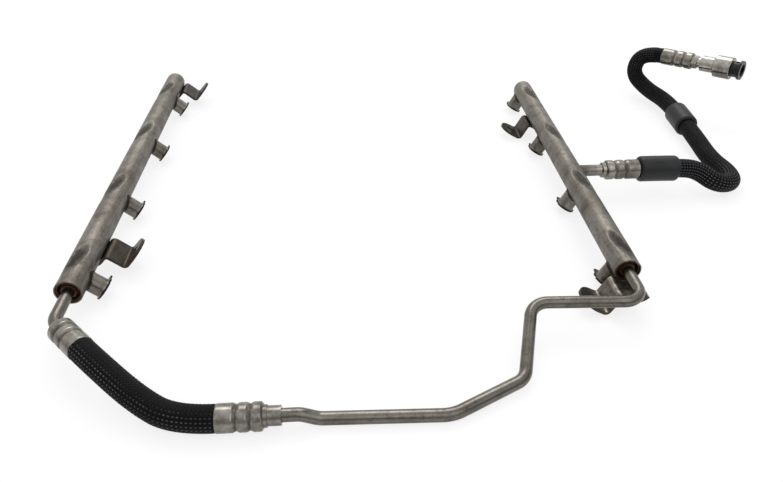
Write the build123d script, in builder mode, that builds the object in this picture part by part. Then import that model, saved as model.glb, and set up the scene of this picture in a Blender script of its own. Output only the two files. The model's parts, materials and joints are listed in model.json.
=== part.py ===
from build123d import *
import os
from math import cos, pi, radians, sin, tan

# Fuel rail for a vee engine: two dented rail tubes with four injector cups each,
# a crossover of pipe and hose at the front, and an inlet hose with a quick connector.
# X runs from the left rail to the right one, Y to the rear, Z up, and Z = 0 is the
# surface that the assembly lies on. The origin is the middle of the footprint of
# everything but the free inlet hose.

# Driving sizes of the layout, in millimetres and degrees
rail_spacing = 445.9
inlet_reach = 70.3
left_axis_height = 24.3
right_axis_height = 26.3
left_rail_length = 439.0
right_rail_length = 383.5
right_rail_advance = 3.2
front_reach = 119.5
injectors_per_rail = 4
left_first_injector = 23.4
left_last_injector = 61.6
right_first_injector = 15.3
right_last_injector = 14.2
left_cup_angle = 41.7
right_cup_angle = 62.2

# Rail tube
tube_diameter = 22.2
tube_wall = 1.2
dome_depth = 9.0
dent_depth = 3.6
dent_tool_radius = 13.0
dent_slant = 60.0
dent_rim_round = 1.0
left_dent_angle = 105.0
right_dent_angle = 75.0
left_first_dent = 28.0
left_last_dent = 57.0
right_first_dent = 20.6
right_last_dent = 45.8

# Front plug of a rail
plug_recess = 1.2
plug_depth = 7.0
plug_wall = 1.3
plug_step_radius = 7.8
plug_step_height = 3.0

# Injector cup
cup_bore = 14.0
cup_wall = 1.15
cup_reach = 24.3
cup_floor = 2.0
cup_feed_hole = 5.0
cup_lip = 1.7
cup_lip_thickness = 1.3
cup_lead_in = 1.0
cup_ear_reach = 12.4
cup_ear_width = 13.0
cup_notch_width = 3.2
cup_notch_depth = 1.1

# Mounting bracket, one bent strip
strip_thickness = 2.5
strip_width = 28.0
saddle_wrap = 80.0
plate_offset = 8.0
tab_distance = 30.0
tab_tip = 29.0
tab_hole_offset = 17.5
strip_bend = 2.0
bolt_hole = 8.6
tongue_length = 17.0
tongue_angle = 28.0
left_front_bracket = 64.4
left_rear_bracket = 20.6
right_front_bracket = -10.2
right_rear_bracket = 81.2

# Metal pipe and the two rubber hoses
pipe_diameter = 9.5
pipe_wall = 0.9
pipe_bend = 15.0
pipe_insertion = 10.0
hose_diameter = 16.8
braid_thickness = 1.2
hose_straight = 14.0
inlet_position = 165.2
left_pipe_run = 33.2
left_fitting_turn = 44.1
left_fitting_setback = 11.0
right_pipe_run = 37.4
shelf_across = 87.0
shelf_ahead = 31.5
shelf_drop = 1.8
foot_across = 103.8
foot_ahead = 91.5
foot_clearance = 1.2
front_run = 114.4
front_bow = 3.0
joint_rise_start = 24.6
joint_rise_end = 12.3
crossover_joint_x = -80.3
crossover_sag_across = 55.1
crossover_sag_back = 16.8
crossover_sag_rise = 4.1
crossover_hose_run = 27.1

# Hose fittings
ferrule_diameter = 19.8
ferrule_length = 31.0
inlet_ferrule_length = 34.0
end_ferrule_length = 38.0
ferrule_collar = 3.0
neck_diameter = 12.0
bead_width = 2.6
nipple_collar = 13.6
nipple_collar_length = 9.3
ring_diameter = 15.4
nipple_bore = 6.4
pipe_socket = 6.0
stem_diameter = 11.5
tail_setback = 1.5
inlet_ring_width = 4.1
crimp_plain = 0.43
crimp_pitch = 0.3
crimp_half = 0.075
crimp_depth = 0.9
crimp_edge = 0.6

# Rubber bumper sleeves on the inlet hose
bumper_diameter = 26.0
bumper_length = 40.0
bumper_edge = 3.0
bumper_gap = 0.5
second_bumper_index = 7
second_bumper_start = 27.0

# Quick connector at the end of the inlet hose
hex_across_flats = 14.0
hex_length = 6.5
connector_neck = 5.0
connector_socket = 6.0
body_diameter = 18.6
body_length = 15.0
body_groove = 2.0
body_groove_depth = 1.0
head_diameter = 26.0
head_length = 19.5
head_wall = 2.2
spigot_bore = 9.7
seal_bore = 14.4
seal_section = 2.3
seal_wall = 2.5
seal_gap = 3.4
seal_bush = 3.3
head_edge = 1.0
retainer_projection = 11.5
retainer_collar = 22.4
retainer_collar_length = 3.0
retainer_wall = 2.0
retainer_window = 5.0

# Values worked out from the driving sizes
tube_radius = tube_diameter / 2
bore_radius = tube_radius - tube_wall
pipe_radius = pipe_diameter / 2
braid_radius = hose_diameter / 2 + braid_thickness
ferrule_radius = ferrule_diameter / 2
overall_width = tube_radius + rail_spacing + inlet_reach
overall_depth = left_rail_length + front_reach + ferrule_radius
left_x = tube_radius - overall_width / 2
right_x = left_x + rail_spacing
left_rail_front = overall_depth / 2 - left_rail_length
right_rail_front = left_rail_front - right_rail_advance
front_line = left_rail_front - front_reach
inlet_y = right_rail_front + inlet_position


class Rail:
    """One rail: its tube axis runs to +Y from the open front end, and its cups point along out."""

    def __init__(self, name, x, z, front, length, cups, dents, cup_angle, side):
        self.name = name
        self.x = x
        self.z = z
        self.front = front
        self.length = length
        self.cups = cups
        self.dents = dents
        self.out = Vector(side * cos(radians(cup_angle)), 0, -sin(radians(cup_angle)))
        self.up = Vector(side * sin(radians(cup_angle)), 0, cos(radians(cup_angle)))

    def point(self, along, out=0.0, up=0.0):
        """The point at a distance along the tube from its open end."""
        return Vector(self.x, self.front + along, self.z) + self.out * out + self.up * up

    def axis(self):
        return Axis(self.point(0), (0, 1, 0))

    def section_plane(self):
        """Local X is the radius on the cup side, local Y runs along the tube."""
        return Plane(self.point(0), x_dir=self.out, z_dir=self.out.cross(Vector(0, 1, 0)))

    def cross_plane(self, along):
        """Local X points along the cups and local Y square to them, upwards."""
        return Plane(self.point(along), x_dir=self.out, z_dir=self.out.cross(self.up))

    def cup_plane(self, along):
        """Local X runs along the tube, local Y along the cup axis from the tube axis."""
        return Plane(self.point(along), x_dir=(0, 1, 0), z_dir=Vector(0, 1, 0).cross(self.out))

    def facing_plane(self, along, out):
        """A plane square to the cups at a distance from the tube axis, local X along the tube."""
        return Plane(self.point(along, out), x_dir=(0, 1, 0), z_dir=self.out)

    def tab_plane(self, along):
        """The near face of a bracket's tab, local X pointing to the tip."""
        return Plane(self.point(along, tab_distance), x_dir=self.up, z_dir=self.out)

    def spread(self, ends, number):
        """Distance of one of the injectors or dents from the open end.

        The ends are the first one's distance from the open end and the last one's from the dome.
        """
        first, last = ends
        pitch = (self.length - first - last) / (injectors_per_rail - 1)
        return first + number * pitch

    def injector(self, number):
        return self.spread(self.cups, number)


left = Rail("left", left_x, left_axis_height, left_rail_front, left_rail_length,
            (left_first_injector, left_last_injector), (left_first_dent, left_last_dent),
            left_cup_angle, 1)
right = Rail("right", right_x, right_axis_height, right_rail_front, right_rail_length,
             (right_first_injector, right_last_injector), (right_first_dent, right_last_dent),
             right_cup_angle, -1)

# Fittings at the ends of the crossover hose: the left one points forward and inward
EAST = Vector(1, 0, 0)
WEST = Vector(-1, 0, 0)
left_pipe_corner = left.point(-left_pipe_run)
left_fitting_direction = Vector(sin(radians(left_fitting_turn)), -cos(radians(left_fitting_turn)), 0)
left_hose_start = left_pipe_corner + left_fitting_direction * left_fitting_setback
left_hose_mouth = left_hose_start + left_fitting_direction * ferrule_length
crossover_joint = Vector(crossover_joint_x, front_line, ferrule_radius)
right_hose_start = crossover_joint + WEST * (nipple_collar_length + bead_width)
right_hose_mouth = right_hose_start + WEST * ferrule_length

# Corners of the bent pipe, from the right rail down to the surface and along the front
crossover_corners = [
    right.point(-right_pipe_run),
    Vector(right.x - shelf_across, right.front - shelf_ahead, right.z - shelf_drop),
    Vector(right.x - foot_across, right.front - foot_ahead, pipe_radius + foot_clearance),
    Vector(crossover_joint_x + front_run, front_line - front_bow, pipe_radius),
    Vector(crossover_joint_x + joint_rise_start, front_line, pipe_radius),
    Vector(crossover_joint_x + joint_rise_end, front_line, ferrule_radius),
]
crossover_bends = [pipe_bend, pipe_bend, pipe_bend, 2 * pipe_bend, pipe_bend, pipe_bend]

# Corners of the crossover hose, which comes down from the left fitting to the right one
crossover_hose_corners = [
    left_hose_mouth + left_fitting_direction * hose_straight,
    right_hose_mouth + Vector(-crossover_sag_across, crossover_sag_back, crossover_sag_rise),
    right_hose_mouth + WEST * crossover_hose_run,
]

# Route of the free inlet hose: steps to the right and to the rear from the mouth, and heights
hose_mouth = Vector(right.x + inlet_reach, inlet_y, right.z)
hose_steps = [
    (44.6, 0.0, right_axis_height),
    (63.6, -0.1, 23.2),
    (79.3, -13.9, 14.6),
    (100.5, -8.0, 10.6),
    (107.7, 13.0, 9.9),
    (102.2, 44.7, 9.9),
    (106.4, 92.8, 12.8),
    (112.4, 184.8, 15.4),
    (102.4, 231.7, 14.0),
    (87.2, 253.3, 29.3),
    (95.7, 252.7, 56.6),
    (115.0, 231.6, 58.5),
]
hose_route = [hose_mouth] + [Vector(hose_mouth.X + x, hose_mouth.Y + y, z) for x, y, z in hose_steps]
hose_end = hose_route[-1]
connector_direction = (hose_route[-1] - hose_route[-2]).normalized()

# Distances along the connector from the end of the hose
body_start = end_ferrule_length + hex_length + connector_neck
seal_start = body_start + connector_socket + seal_wall
seal_end = seal_start + 2 * seal_section + seal_gap + seal_bush
retainer_outer = retainer_collar / 2 - retainer_wall


def save(piece, label):
    """Label a finished piece and write it."""
    piece.part.label = label
    export_step(piece.part, "parts/" + label + ".step")
    print(label, round(piece.part.volume, 1))


def turning_plane(start, direction):
    """A plane for turned profiles: local X is the radius and local Y runs along the direction."""
    side = Vector(0, 0, 1).cross(direction).normalized()
    radial = direction.cross(side)
    return Plane(start, x_dir=radial, z_dir=radial.cross(direction))


def dent_axes(rail):
    """Start point and direction of each pressing tool that crosses a rail tube."""
    angle, turn = (left_dent_angle, -1) if rail.name == "left" else (right_dent_angle, 1)
    radial = Vector(cos(radians(angle)), 0, sin(radians(angle)))
    around = Vector(-sin(radians(angle)), 0, cos(radians(angle)))
    direction = around * cos(radians(dent_slant)) + Vector(0, turn, 0) * sin(radians(dent_slant))
    offset = tube_radius + dent_tool_radius - dent_depth
    places = [rail.spread(rail.dents, number) for number in range(injectors_per_rail)]
    return [(rail.point(along) + radial * offset, direction) for along in places]


def dent_tools(rail, allowance):
    """The pressing tools that cross a rail tube, made thicker by an allowance."""
    with BuildPart() as tools:
        for start, direction in dent_axes(rail):
            with BuildSketch(Plane(start, z_dir=direction)):
                Circle(dent_tool_radius + allowance)
            extrude(amount=2 * tube_diameter, both=True)
    return tools.part


def rail_core(rail):
    """The space inside a rail tube, so that the wall keeps its thickness under each dent."""
    tools = dent_tools(rail, tube_wall)
    floor = rail.length - tube_wall
    with BuildPart() as core:
        with BuildSketch(rail.section_plane()):
            with BuildLine():
                FilletPolyline((0, floor), (bore_radius, floor), (bore_radius, -tube_wall),
                               radius=dome_depth - tube_wall)
                Polyline((bore_radius, -tube_wall), (0, -tube_wall), (0, floor))
            make_face()
        revolve(axis=rail.axis())
        add(tools, mode=Mode.SUBTRACT)
    return core.part


def rail_tube(rail):
    """A rail tube with a spun dome at the rear, slanting dents and a feed hole behind each cup."""
    core = rail_core(rail)
    tools = dent_tools(rail, 0)
    with BuildPart() as tube:
        with BuildSketch(rail.section_plane()):
            with BuildLine():
                FilletPolyline((0, rail.length), (tube_radius, rail.length), (tube_radius, 0),
                               radius=dome_depth)
                Polyline((tube_radius, 0), (0, 0), (0, rail.length))
            make_face()
        revolve(axis=rail.axis())
        plain = tube.edges()
        add(tools, mode=Mode.SUBTRACT)
        rims = tube.edges() - plain
        rims = rims.filter_by(lambda edge: edge.geom_type == GeomType.BSPLINE)
        fillet(rims, dent_rim_round)
        add(core, mode=Mode.SUBTRACT)
        for number in range(injectors_per_rail):
            with BuildSketch(rail.facing_plane(rail.injector(number), 0)):
                Circle(cup_feed_hole / 2)
            extrude(amount=tube_diameter, mode=Mode.SUBTRACT)
        if rail.name == "right":
            with BuildSketch(Plane((rail.x, inlet_y, rail.z), z_dir=(1, 0, 0))):
                Circle(nipple_bore / 2)
            extrude(amount=tube_diameter, mode=Mode.SUBTRACT)
    return tube


def front_plug(rail):
    """The pressed plug in the open end: a skirt that follows the dent, a web and a collar."""
    tools = dent_tools(rail, tube_wall)
    hole = pipe_radius
    collar = hole + plug_wall
    web = plug_recess + plug_depth
    step = web - plug_step_height
    with BuildPart() as plug:
        with BuildSketch(rail.section_plane()):
            with BuildLine():
                Polyline(
                    (bore_radius, plug_recess),
                    (bore_radius, web),
                    (plug_step_radius - plug_wall, web),
                    (plug_step_radius - plug_wall, step + plug_wall),
                    (hole, step + plug_wall),
                    (hole, plug_recess),
                    (collar, plug_recess),
                    (collar, step),
                    (plug_step_radius, step),
                    (plug_step_radius, web - plug_wall),
                    (bore_radius - plug_wall, web - plug_wall),
                    (bore_radius - plug_wall, plug_recess),
                    close=True,
                )
            make_face()
        revolve(axis=rail.axis())
        add(tools, mode=Mode.SUBTRACT)
    return plug


def injector_cup(rail, number):
    """A deep-drawn cup brazed on the tube: a saddle seat, a lipped mouth, an ear and clip notches."""
    along = rail.injector(number)
    bore = cup_bore / 2
    outer = bore + cup_wall
    lip = outer + cup_lip
    floor = tube_radius + cup_floor
    with BuildPart() as cup:
        with BuildSketch(rail.cup_plane(along)):
            with BuildLine():
                Polyline(
                    (cup_feed_hole / 2, 0),
                    (outer, 0),
                    (outer, cup_reach),
                    (bore + cup_lead_in, cup_reach),
                    (bore, cup_reach - 2 * cup_lead_in),
                    (bore, floor),
                    (cup_feed_hole / 2, floor),
                    close=True,
                )
            make_face()
        revolve(axis=Axis(rail.point(along), rail.out))
        with BuildSketch(rail.facing_plane(along, cup_reach - cup_lip_thickness)):
            Circle(lip)
            with Locations((cup_ear_reach / 2, 0)):
                Rectangle(cup_ear_reach, cup_ear_width)
            Circle(outer - cup_wall / 2, mode=Mode.SUBTRACT)
            with Locations((0, lip), (0, -lip)):
                Rectangle(cup_notch_width, 2 * cup_notch_depth, mode=Mode.SUBTRACT)
        extrude(amount=cup_lip_thickness)
        ear_corners = cup.edges().filter_by(Axis((0, 0, 0), rail.out)).sort_by(Axis.Y)[-2:]
        fillet(ear_corners, cup_lip)
        with BuildSketch(rail.cross_plane(along)):
            Circle(tube_radius)
        extrude(amount=cup_ear_reach, both=True, mode=Mode.SUBTRACT)
    return cup


def bracket(rail, along, tongue=0.0):
    """A strip bent from a saddle under the tube to a plate and a rounded tab with a bolt hole.

    The tongue lengthens the saddle to the rear, beside the cup, where the plate stands at the
    very end of the tube.
    """
    inside = tube_radius
    outside = tube_radius + strip_thickness
    bend_out = strip_bend + strip_thickness
    end_centre = tab_tip - strip_width / 2
    with BuildPart() as strip:
        with BuildSketch(rail.cross_plane(along)):
            with BuildLine():
                inner_saddle = CenterArc((0, 0), inside, -saddle_wrap, saddle_wrap)
                inner_face = FilletPolyline(
                    (inside, 0),
                    (inside, plate_offset),
                    (tab_distance, plate_offset),
                    (tab_distance, tab_tip),
                    radius=[bend_out, strip_bend],
                )
                outer_face = FilletPolyline(
                    (tab_distance + strip_thickness, tab_tip),
                    (tab_distance + strip_thickness, plate_offset - strip_thickness),
                    (outside, plate_offset - strip_thickness),
                    (outside, 0),
                    radius=[bend_out, strip_bend],
                )
                outer_saddle = CenterArc((0, 0), outside, -saddle_wrap, saddle_wrap)
                Line(inner_face @ 1, outer_face @ 0)
                Line(inner_saddle @ 0, outer_saddle @ 0)
            make_face()
        extrude(amount=strip_width / 2, both=True)
        with BuildSketch(rail.tab_plane(along)):
            with Locations((tab_tip, 0)):
                Rectangle(strip_width, strip_width)
            with Locations((end_centre, 0)):
                Circle(strip_width / 2, mode=Mode.SUBTRACT)
        extrude(amount=strip_thickness, mode=Mode.SUBTRACT)
        with BuildSketch(rail.tab_plane(along)):
            with Locations((tab_hole_offset, 0)):
                Circle(bolt_hole / 2)
        extrude(amount=strip_thickness, mode=Mode.SUBTRACT)
        if tongue > 0:
            with BuildSketch(Plane(rail.point(along), x_dir=rail.out, z_dir=(0, 1, 0))):
                turn = 1 if rail.name == "right" else -1
                with BuildLine():
                    inner = CenterArc((0, 0), inside, -turn * saddle_wrap, turn * tongue_angle)
                    outer = CenterArc((0, 0), outside, -turn * saddle_wrap, turn * tongue_angle)
                    Line(inner @ 0, outer @ 0)
                    Line(inner @ 1, outer @ 1)
                make_face()
            extrude(amount=strip_width / 2 + tongue)
    return strip


def ferrule(mouth, direction, length):
    """A crimped steel sleeve: a plain mouth, two rolled grooves and a back flange on the neck."""
    outer = ferrule_radius
    bore = hose_diameter / 2
    neck = neck_diameter / 2
    first = crimp_plain * length
    second = first + crimp_pitch * length
    half = crimp_half * length
    shoulder = length - ferrule_collar / 2
    with BuildPart() as sleeve:
        with BuildSketch(turning_plane(mouth, direction)):
            with BuildLine():
                Polyline((bore, 0), (outer - crimp_edge, 0), (outer, crimp_edge), (outer, first - half))
                for groove in (first, second):
                    ThreePointArc(
                        (outer, groove - half),
                        (outer - crimp_depth, groove),
                        (outer, groove + half),
                    )
                Line((outer, first + half), (outer, second - half))
                Polyline(
                    (outer, second + half),
                    (outer, shoulder - ferrule_collar),
                    (outer - crimp_depth, shoulder),
                    (outer - crimp_depth, length),
                    (neck, length),
                    (neck, length - ferrule_collar),
                    (bore, length - ferrule_collar),
                    (bore, 0),
                )
            make_face()
        revolve(axis=Axis(mouth, direction))
    return sleeve


def swept_tube(points, radii, outer, inner):
    """A pipe or hose along straight runs joined by tangent arcs; inner is zero in a plain cord."""
    with BuildPart() as tube:
        with BuildLine():
            path = FilletPolyline(*points, radius=radii)
        with BuildSketch(Plane(path @ 0, z_dir=path % 0)):
            Circle(outer)
            if inner > 0:
                Circle(inner, mode=Mode.SUBTRACT)
        sweep()
    return tube


def turn_angle(before, corner, after):
    """Degrees by which a route turns at a corner."""
    return (corner - before).get_angle(after - corner)


def route_radii(points):
    """The largest arc that each corner's two runs allow."""
    radii = []
    for before, corner, after in zip(points, points[1:], points[2:]):
        shorter = min((corner - before).length, (after - corner).length)
        radii.append(0.45 * shorter / tan(radians(turn_angle(before, corner, after) / 2)))
    return radii


def route_length(points, radii):
    """Length of a route with its corners rounded."""
    total = sum((b - a).length for a, b in zip(points, points[1:]))
    for before, corner, after, radius in zip(points, points[1:], points[2:], radii):
        half = radians(turn_angle(before, corner, after) / 2)
        total -= 2 * radius * (tan(half) - half)
    return total


def left_feed_pipe():
    """The short steel pipe from the left plug, with a bead and neck for the crimped ferrule."""
    ring_start = left_hose_start - left_fitting_direction * bead_width
    tail_end = left_hose_mouth - left_fitting_direction * tail_setback
    with BuildPart() as pipe:
        with BuildLine():
            path = FilletPolyline(left.point(pipe_insertion), left_pipe_corner, tail_end,
                                  radius=pipe_bend)
        with BuildSketch(Plane(path @ 0, z_dir=path % 0)):
            Circle(pipe_radius)
            Circle(pipe_radius - pipe_wall, mode=Mode.SUBTRACT)
        sweep()
        with BuildSketch(Plane(ring_start, z_dir=left_fitting_direction)):
            Circle(ring_diameter / 2)
            Circle(pipe_radius - pipe_wall / 2, mode=Mode.SUBTRACT)
        extrude(amount=bead_width)
        with BuildSketch(Plane(ring_start, z_dir=left_fitting_direction)):
            Circle(neck_diameter / 2)
            Circle(pipe_radius - pipe_wall / 2, mode=Mode.SUBTRACT)
        extrude(amount=bead_width + ferrule_collar)
    return pipe


def crossover_nipple():
    """The turned end of the crossover hose: a pipe socket, a collar, a ring, a neck and a tail."""
    collar_end = nipple_collar_length
    ring_end = collar_end + bead_width
    neck_end = ring_end + ferrule_collar
    tail_end = ring_end + ferrule_length - tail_setback
    with BuildPart() as nipple:
        with BuildSketch(turning_plane(crossover_joint, WEST)):
            with BuildLine():
                Polyline(
                    (pipe_radius, 0),
                    (nipple_collar / 2, 0),
                    (nipple_collar / 2, collar_end),
                    (ring_diameter / 2, collar_end),
                    (ring_diameter / 2, ring_end),
                    (neck_diameter / 2, ring_end),
                    (neck_diameter / 2, neck_end),
                    (pipe_radius, neck_end),
                    (pipe_radius, tail_end),
                    (nipple_bore / 2, tail_end),
                    (nipple_bore / 2, pipe_socket),
                    (pipe_radius, pipe_socket),
                    close=True,
                )
            make_face()
        revolve(axis=Axis(crossover_joint, WEST))
    return nipple


def crossover_pipe():
    """The bent pipe from the right plug down to the surface and along the front."""
    route = [right.point(pipe_insertion), *crossover_corners, crossover_joint + WEST * pipe_socket]
    return swept_tube(route, crossover_bends, pipe_radius, pipe_radius - pipe_wall)


def inlet_stem():
    """The stub brazed on the right tube: a saddle seat, a ring, a neck and a hose tail."""
    base = hose_mouth + WEST * inlet_reach
    ring_end = inlet_reach - inlet_ferrule_length
    neck_end = ring_end + ferrule_collar
    tail_end = inlet_reach - tail_setback
    with BuildPart() as stem:
        with BuildSketch(turning_plane(base, EAST)):
            with BuildLine():
                Polyline(
                    (nipple_bore / 2, 0),
                    (stem_diameter / 2, 0),
                    (stem_diameter / 2, ring_end - inlet_ring_width),
                    (ring_diameter / 2, ring_end - inlet_ring_width),
                    (ring_diameter / 2, ring_end),
                    (neck_diameter / 2, ring_end),
                    (neck_diameter / 2, neck_end),
                    (pipe_radius, neck_end),
                    (pipe_radius, tail_end),
                    (nipple_bore / 2, tail_end),
                    close=True,
                )
            make_face()
        revolve(axis=Axis(base, EAST))
        with BuildSketch(right.cross_plane(inlet_y - right.front)):
            Circle(tube_radius)
        extrude(amount=tube_diameter, both=True, mode=Mode.SUBTRACT)
    return stem


def bumper(start, direction):
    """A rubber sleeve that keeps the hose off its neighbours."""
    with BuildPart() as sleeve:
        with BuildSketch(Plane(start, z_dir=direction)):
            Circle(bumper_diameter / 2)
        extrude(amount=bumper_length)
        fillet(sleeve.edges(), bumper_edge)
        with BuildSketch(Plane(start, z_dir=direction)):
            Circle(braid_radius)
        extrude(amount=bumper_length, mode=Mode.SUBTRACT)
    return sleeve


def connector_stem():
    """The hose tail of the quick connector, with a hexagon for the spanner."""
    hex_start = end_ferrule_length
    hex_end = hex_start + hex_length
    tip = hex_end + connector_neck + connector_socket
    with BuildPart() as stem:
        with BuildSketch(turning_plane(hose_end, connector_direction)):
            with BuildLine():
                Polyline(
                    (nipple_bore / 2, tail_setback),
                    (pipe_radius, tail_setback),
                    (pipe_radius, hex_start - ferrule_collar),
                    (neck_diameter / 2, hex_start - ferrule_collar),
                    (neck_diameter / 2, tip),
                    (nipple_bore / 2, tip),
                    close=True,
                )
            make_face()
        revolve(axis=Axis(hose_end, connector_direction))
        with BuildSketch(Plane(hose_end + connector_direction * hex_start, z_dir=connector_direction)):
            RegularPolygon(hex_across_flats / 2, 6, major_radius=False)
            Circle(pipe_radius, mode=Mode.SUBTRACT)
        extrude(amount=hex_length)
    return stem


def connector_body():
    """The turned socket of the quick connector, with its seal bay and retainer bay."""
    start = body_start
    groove_start = start + body_length
    head_start = groove_start + body_groove
    head_end = head_start + head_length
    with BuildPart() as body:
        with BuildSketch(turning_plane(hose_end, connector_direction)):
            with BuildLine():
                Polyline(
                    (neck_diameter / 2, start),
                    (body_diameter / 2, start),
                    (body_diameter / 2, groove_start),
                    (body_diameter / 2 - body_groove_depth, groove_start),
                    (body_diameter / 2 - body_groove_depth, head_start),
                    (head_diameter / 2, head_start),
                    (head_diameter / 2, head_end),
                    (retainer_outer, head_end),
                    (retainer_outer, head_end - head_wall),
                    (head_diameter / 2 - head_wall, head_end - head_wall),
                    (head_diameter / 2 - head_wall, seal_end),
                    (seal_bore / 2, seal_end),
                    (seal_bore / 2, seal_start),
                    (spigot_bore / 2, seal_start),
                    (spigot_bore / 2, start + connector_socket),
                    (neck_diameter / 2, start + connector_socket),
                    close=True,
                )
            make_face()
        revolve(axis=Axis(hose_end, connector_direction))
        rims = body.edges().filter_by(GeomType.CIRCLE).filter_by(
            lambda edge: abs(edge.radius - head_diameter / 2) < 0.01
        )
        fillet(rims, head_edge)
    return body


def connector_retainer():
    """The black retainer in the connector's mouth: barbs inside, a collar and two windows outside."""
    head_end = body_start + body_length + body_groove + head_length
    tip = head_end + retainer_projection
    barb_start = seal_end
    with BuildPart() as retainer:
        with BuildSketch(turning_plane(hose_end, connector_direction)):
            with BuildLine():
                Polyline(
                    (retainer_outer - retainer_wall, barb_start),
                    (head_diameter / 2 - head_wall, barb_start),
                    (head_diameter / 2 - head_wall, barb_start + retainer_collar_length),
                    (retainer_outer, barb_start + retainer_collar_length),
                    (retainer_outer, tip - retainer_collar_length),
                    (retainer_collar / 2, tip - retainer_collar_length),
                    (retainer_collar / 2, tip),
                    (retainer_outer - retainer_wall, tip),
                    close=True,
                )
            make_face()
        revolve(axis=Axis(hose_end, connector_direction))
        window = hose_end + connector_direction * (head_end + retainer_projection / 2)
        upwards = turning_plane(window, connector_direction).x_dir
        with BuildSketch(Plane(window, x_dir=connector_direction, z_dir=upwards)):
            Rectangle(retainer_window, retainer_window)
        extrude(amount=head_diameter, both=True, mode=Mode.SUBTRACT)
    return retainer


def seal(distance):
    """One rubber ring in the connector's seal bay."""
    centre = hose_end + connector_direction * distance
    plane = turning_plane(centre, connector_direction)
    with BuildPart() as ring:
        with BuildSketch(plane):
            with Locations((seal_bore / 2 - seal_section / 2, 0)):
                Circle(seal_section / 2)
        revolve(axis=Axis(centre, connector_direction))
    return ring


def seal_spacer(distance, length):
    """A plain plastic ring in the seal bay."""
    with BuildPart() as ring:
        with BuildSketch(Plane(hose_end + connector_direction * distance, z_dir=connector_direction)):
            Circle(seal_bore / 2)
            Circle(spigot_bore / 2, mode=Mode.SUBTRACT)
        extrude(amount=length)
    return ring


def build_rail(rail, front_bracket, rear_bracket, tongue=0.0):
    """Write every piece of one rail."""
    save(rail_tube(rail), rail.name + "_rail_tube")
    save(front_plug(rail), rail.name + "_front_plug")
    for number in range(injectors_per_rail):
        save(injector_cup(rail, number), f"{rail.name}_injector_cup_{number + 1}")
    save(bracket(rail, front_bracket, tongue), rail.name + "_front_bracket")
    save(bracket(rail, rear_bracket), rail.name + "_rear_bracket")


def build_crossover():
    """Write the pipe, hose and fittings that join the rails at the front."""
    radii = route_radii([left_hose_mouth, *crossover_hose_corners, right_hose_mouth])
    core_start = left_hose_start + left_fitting_direction * ferrule_collar
    core_end = right_hose_start + WEST * ferrule_collar
    core_route = [core_start, *crossover_hose_corners, core_end]
    braid_route = [left_hose_mouth, *crossover_hose_corners, right_hose_mouth]
    save(left_feed_pipe(), "left_feed_pipe")
    save(ferrule(left_hose_mouth, -left_fitting_direction, ferrule_length), "left_hose_ferrule")
    save(swept_tube(core_route, radii, hose_diameter / 2, pipe_radius), "crossover_hose")
    save(swept_tube(braid_route, radii, braid_radius, hose_diameter / 2), "crossover_braid")
    save(ferrule(right_hose_mouth, EAST, ferrule_length), "crossover_ferrule")
    save(crossover_nipple(), "crossover_nipple")
    save(crossover_pipe(), "crossover_pipe")


def build_inlet():
    """Write the inlet stem, the free hose and what is on it."""
    radii = route_radii(hose_route)
    print("inlet hose radii", [round(radius, 1) for radius in radii])
    hose = swept_tube(hose_route, radii, braid_radius, 0)
    length = route_length(hose_route, radii)
    section = pi * braid_radius ** 2
    print("inlet hose length", round(length, 2), "volume over section times length",
          round(hose.part.volume / (section * length), 6))
    corner = hose_route[second_bumper_index]
    run = (hose_route[second_bumper_index + 1] - corner).normalized()
    save(inlet_stem(), "inlet_stem")
    save(ferrule(hose_mouth, WEST, inlet_ferrule_length), "inlet_ferrule")
    save(hose, "inlet_hose")
    save(bumper(hose_mouth + EAST * bumper_gap, EAST), "hose_bumper_1")
    save(bumper(corner + run * second_bumper_start, run), "hose_bumper_2")
    save(ferrule(hose_end, connector_direction, end_ferrule_length), "end_ferrule")


def build_connector():
    """Write the quick connector at the end of the inlet hose."""
    first = seal_start + seal_section / 2
    second = first + seal_section + seal_gap
    save(connector_stem(), "connector_stem")
    save(connector_body(), "connector_body")
    save(seal(first), "connector_seal_1")
    save(seal_spacer(first + seal_section / 2, seal_gap), "connector_spacer")
    save(seal(second), "connector_seal_2")
    save(seal_spacer(second + seal_section / 2, seal_bush), "connector_bush")
    save(connector_retainer(), "connector_retainer")


if __name__ == "__main__":
    os.makedirs("parts", exist_ok=True)
    build_rail(left, left_front_bracket, left.length - left_rear_bracket)
    build_rail(right, right_front_bracket, right.length - right_rear_bracket, tongue_length)
    build_crossover()
    build_inlet()
    build_connector()
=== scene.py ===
import json
from math import pi

import bpy
import numpy as np
from bpy.props import FloatProperty, FloatVectorProperty, IntProperty, PointerProperty
from mathutils import Matrix, Vector


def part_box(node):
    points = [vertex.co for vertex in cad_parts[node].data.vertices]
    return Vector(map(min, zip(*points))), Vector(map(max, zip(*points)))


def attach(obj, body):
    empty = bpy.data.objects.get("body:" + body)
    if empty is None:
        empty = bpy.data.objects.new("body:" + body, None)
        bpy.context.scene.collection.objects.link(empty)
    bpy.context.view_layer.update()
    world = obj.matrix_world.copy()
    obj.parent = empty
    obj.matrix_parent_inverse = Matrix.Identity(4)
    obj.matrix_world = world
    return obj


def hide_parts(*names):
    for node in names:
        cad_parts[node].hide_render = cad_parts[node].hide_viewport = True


bl_info = {
    "name": "Fuel Rail",
    "version": (1, 0, 0),
    "blender": (4, 5, 0),
    "location": "3D View > Sidebar > Fuel Rail",
    "description": "Finishes a fuel rail assembly: dented rails, cups, brackets, pipes and braided hoses",
    "category": "Add Mesh",
}

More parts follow.
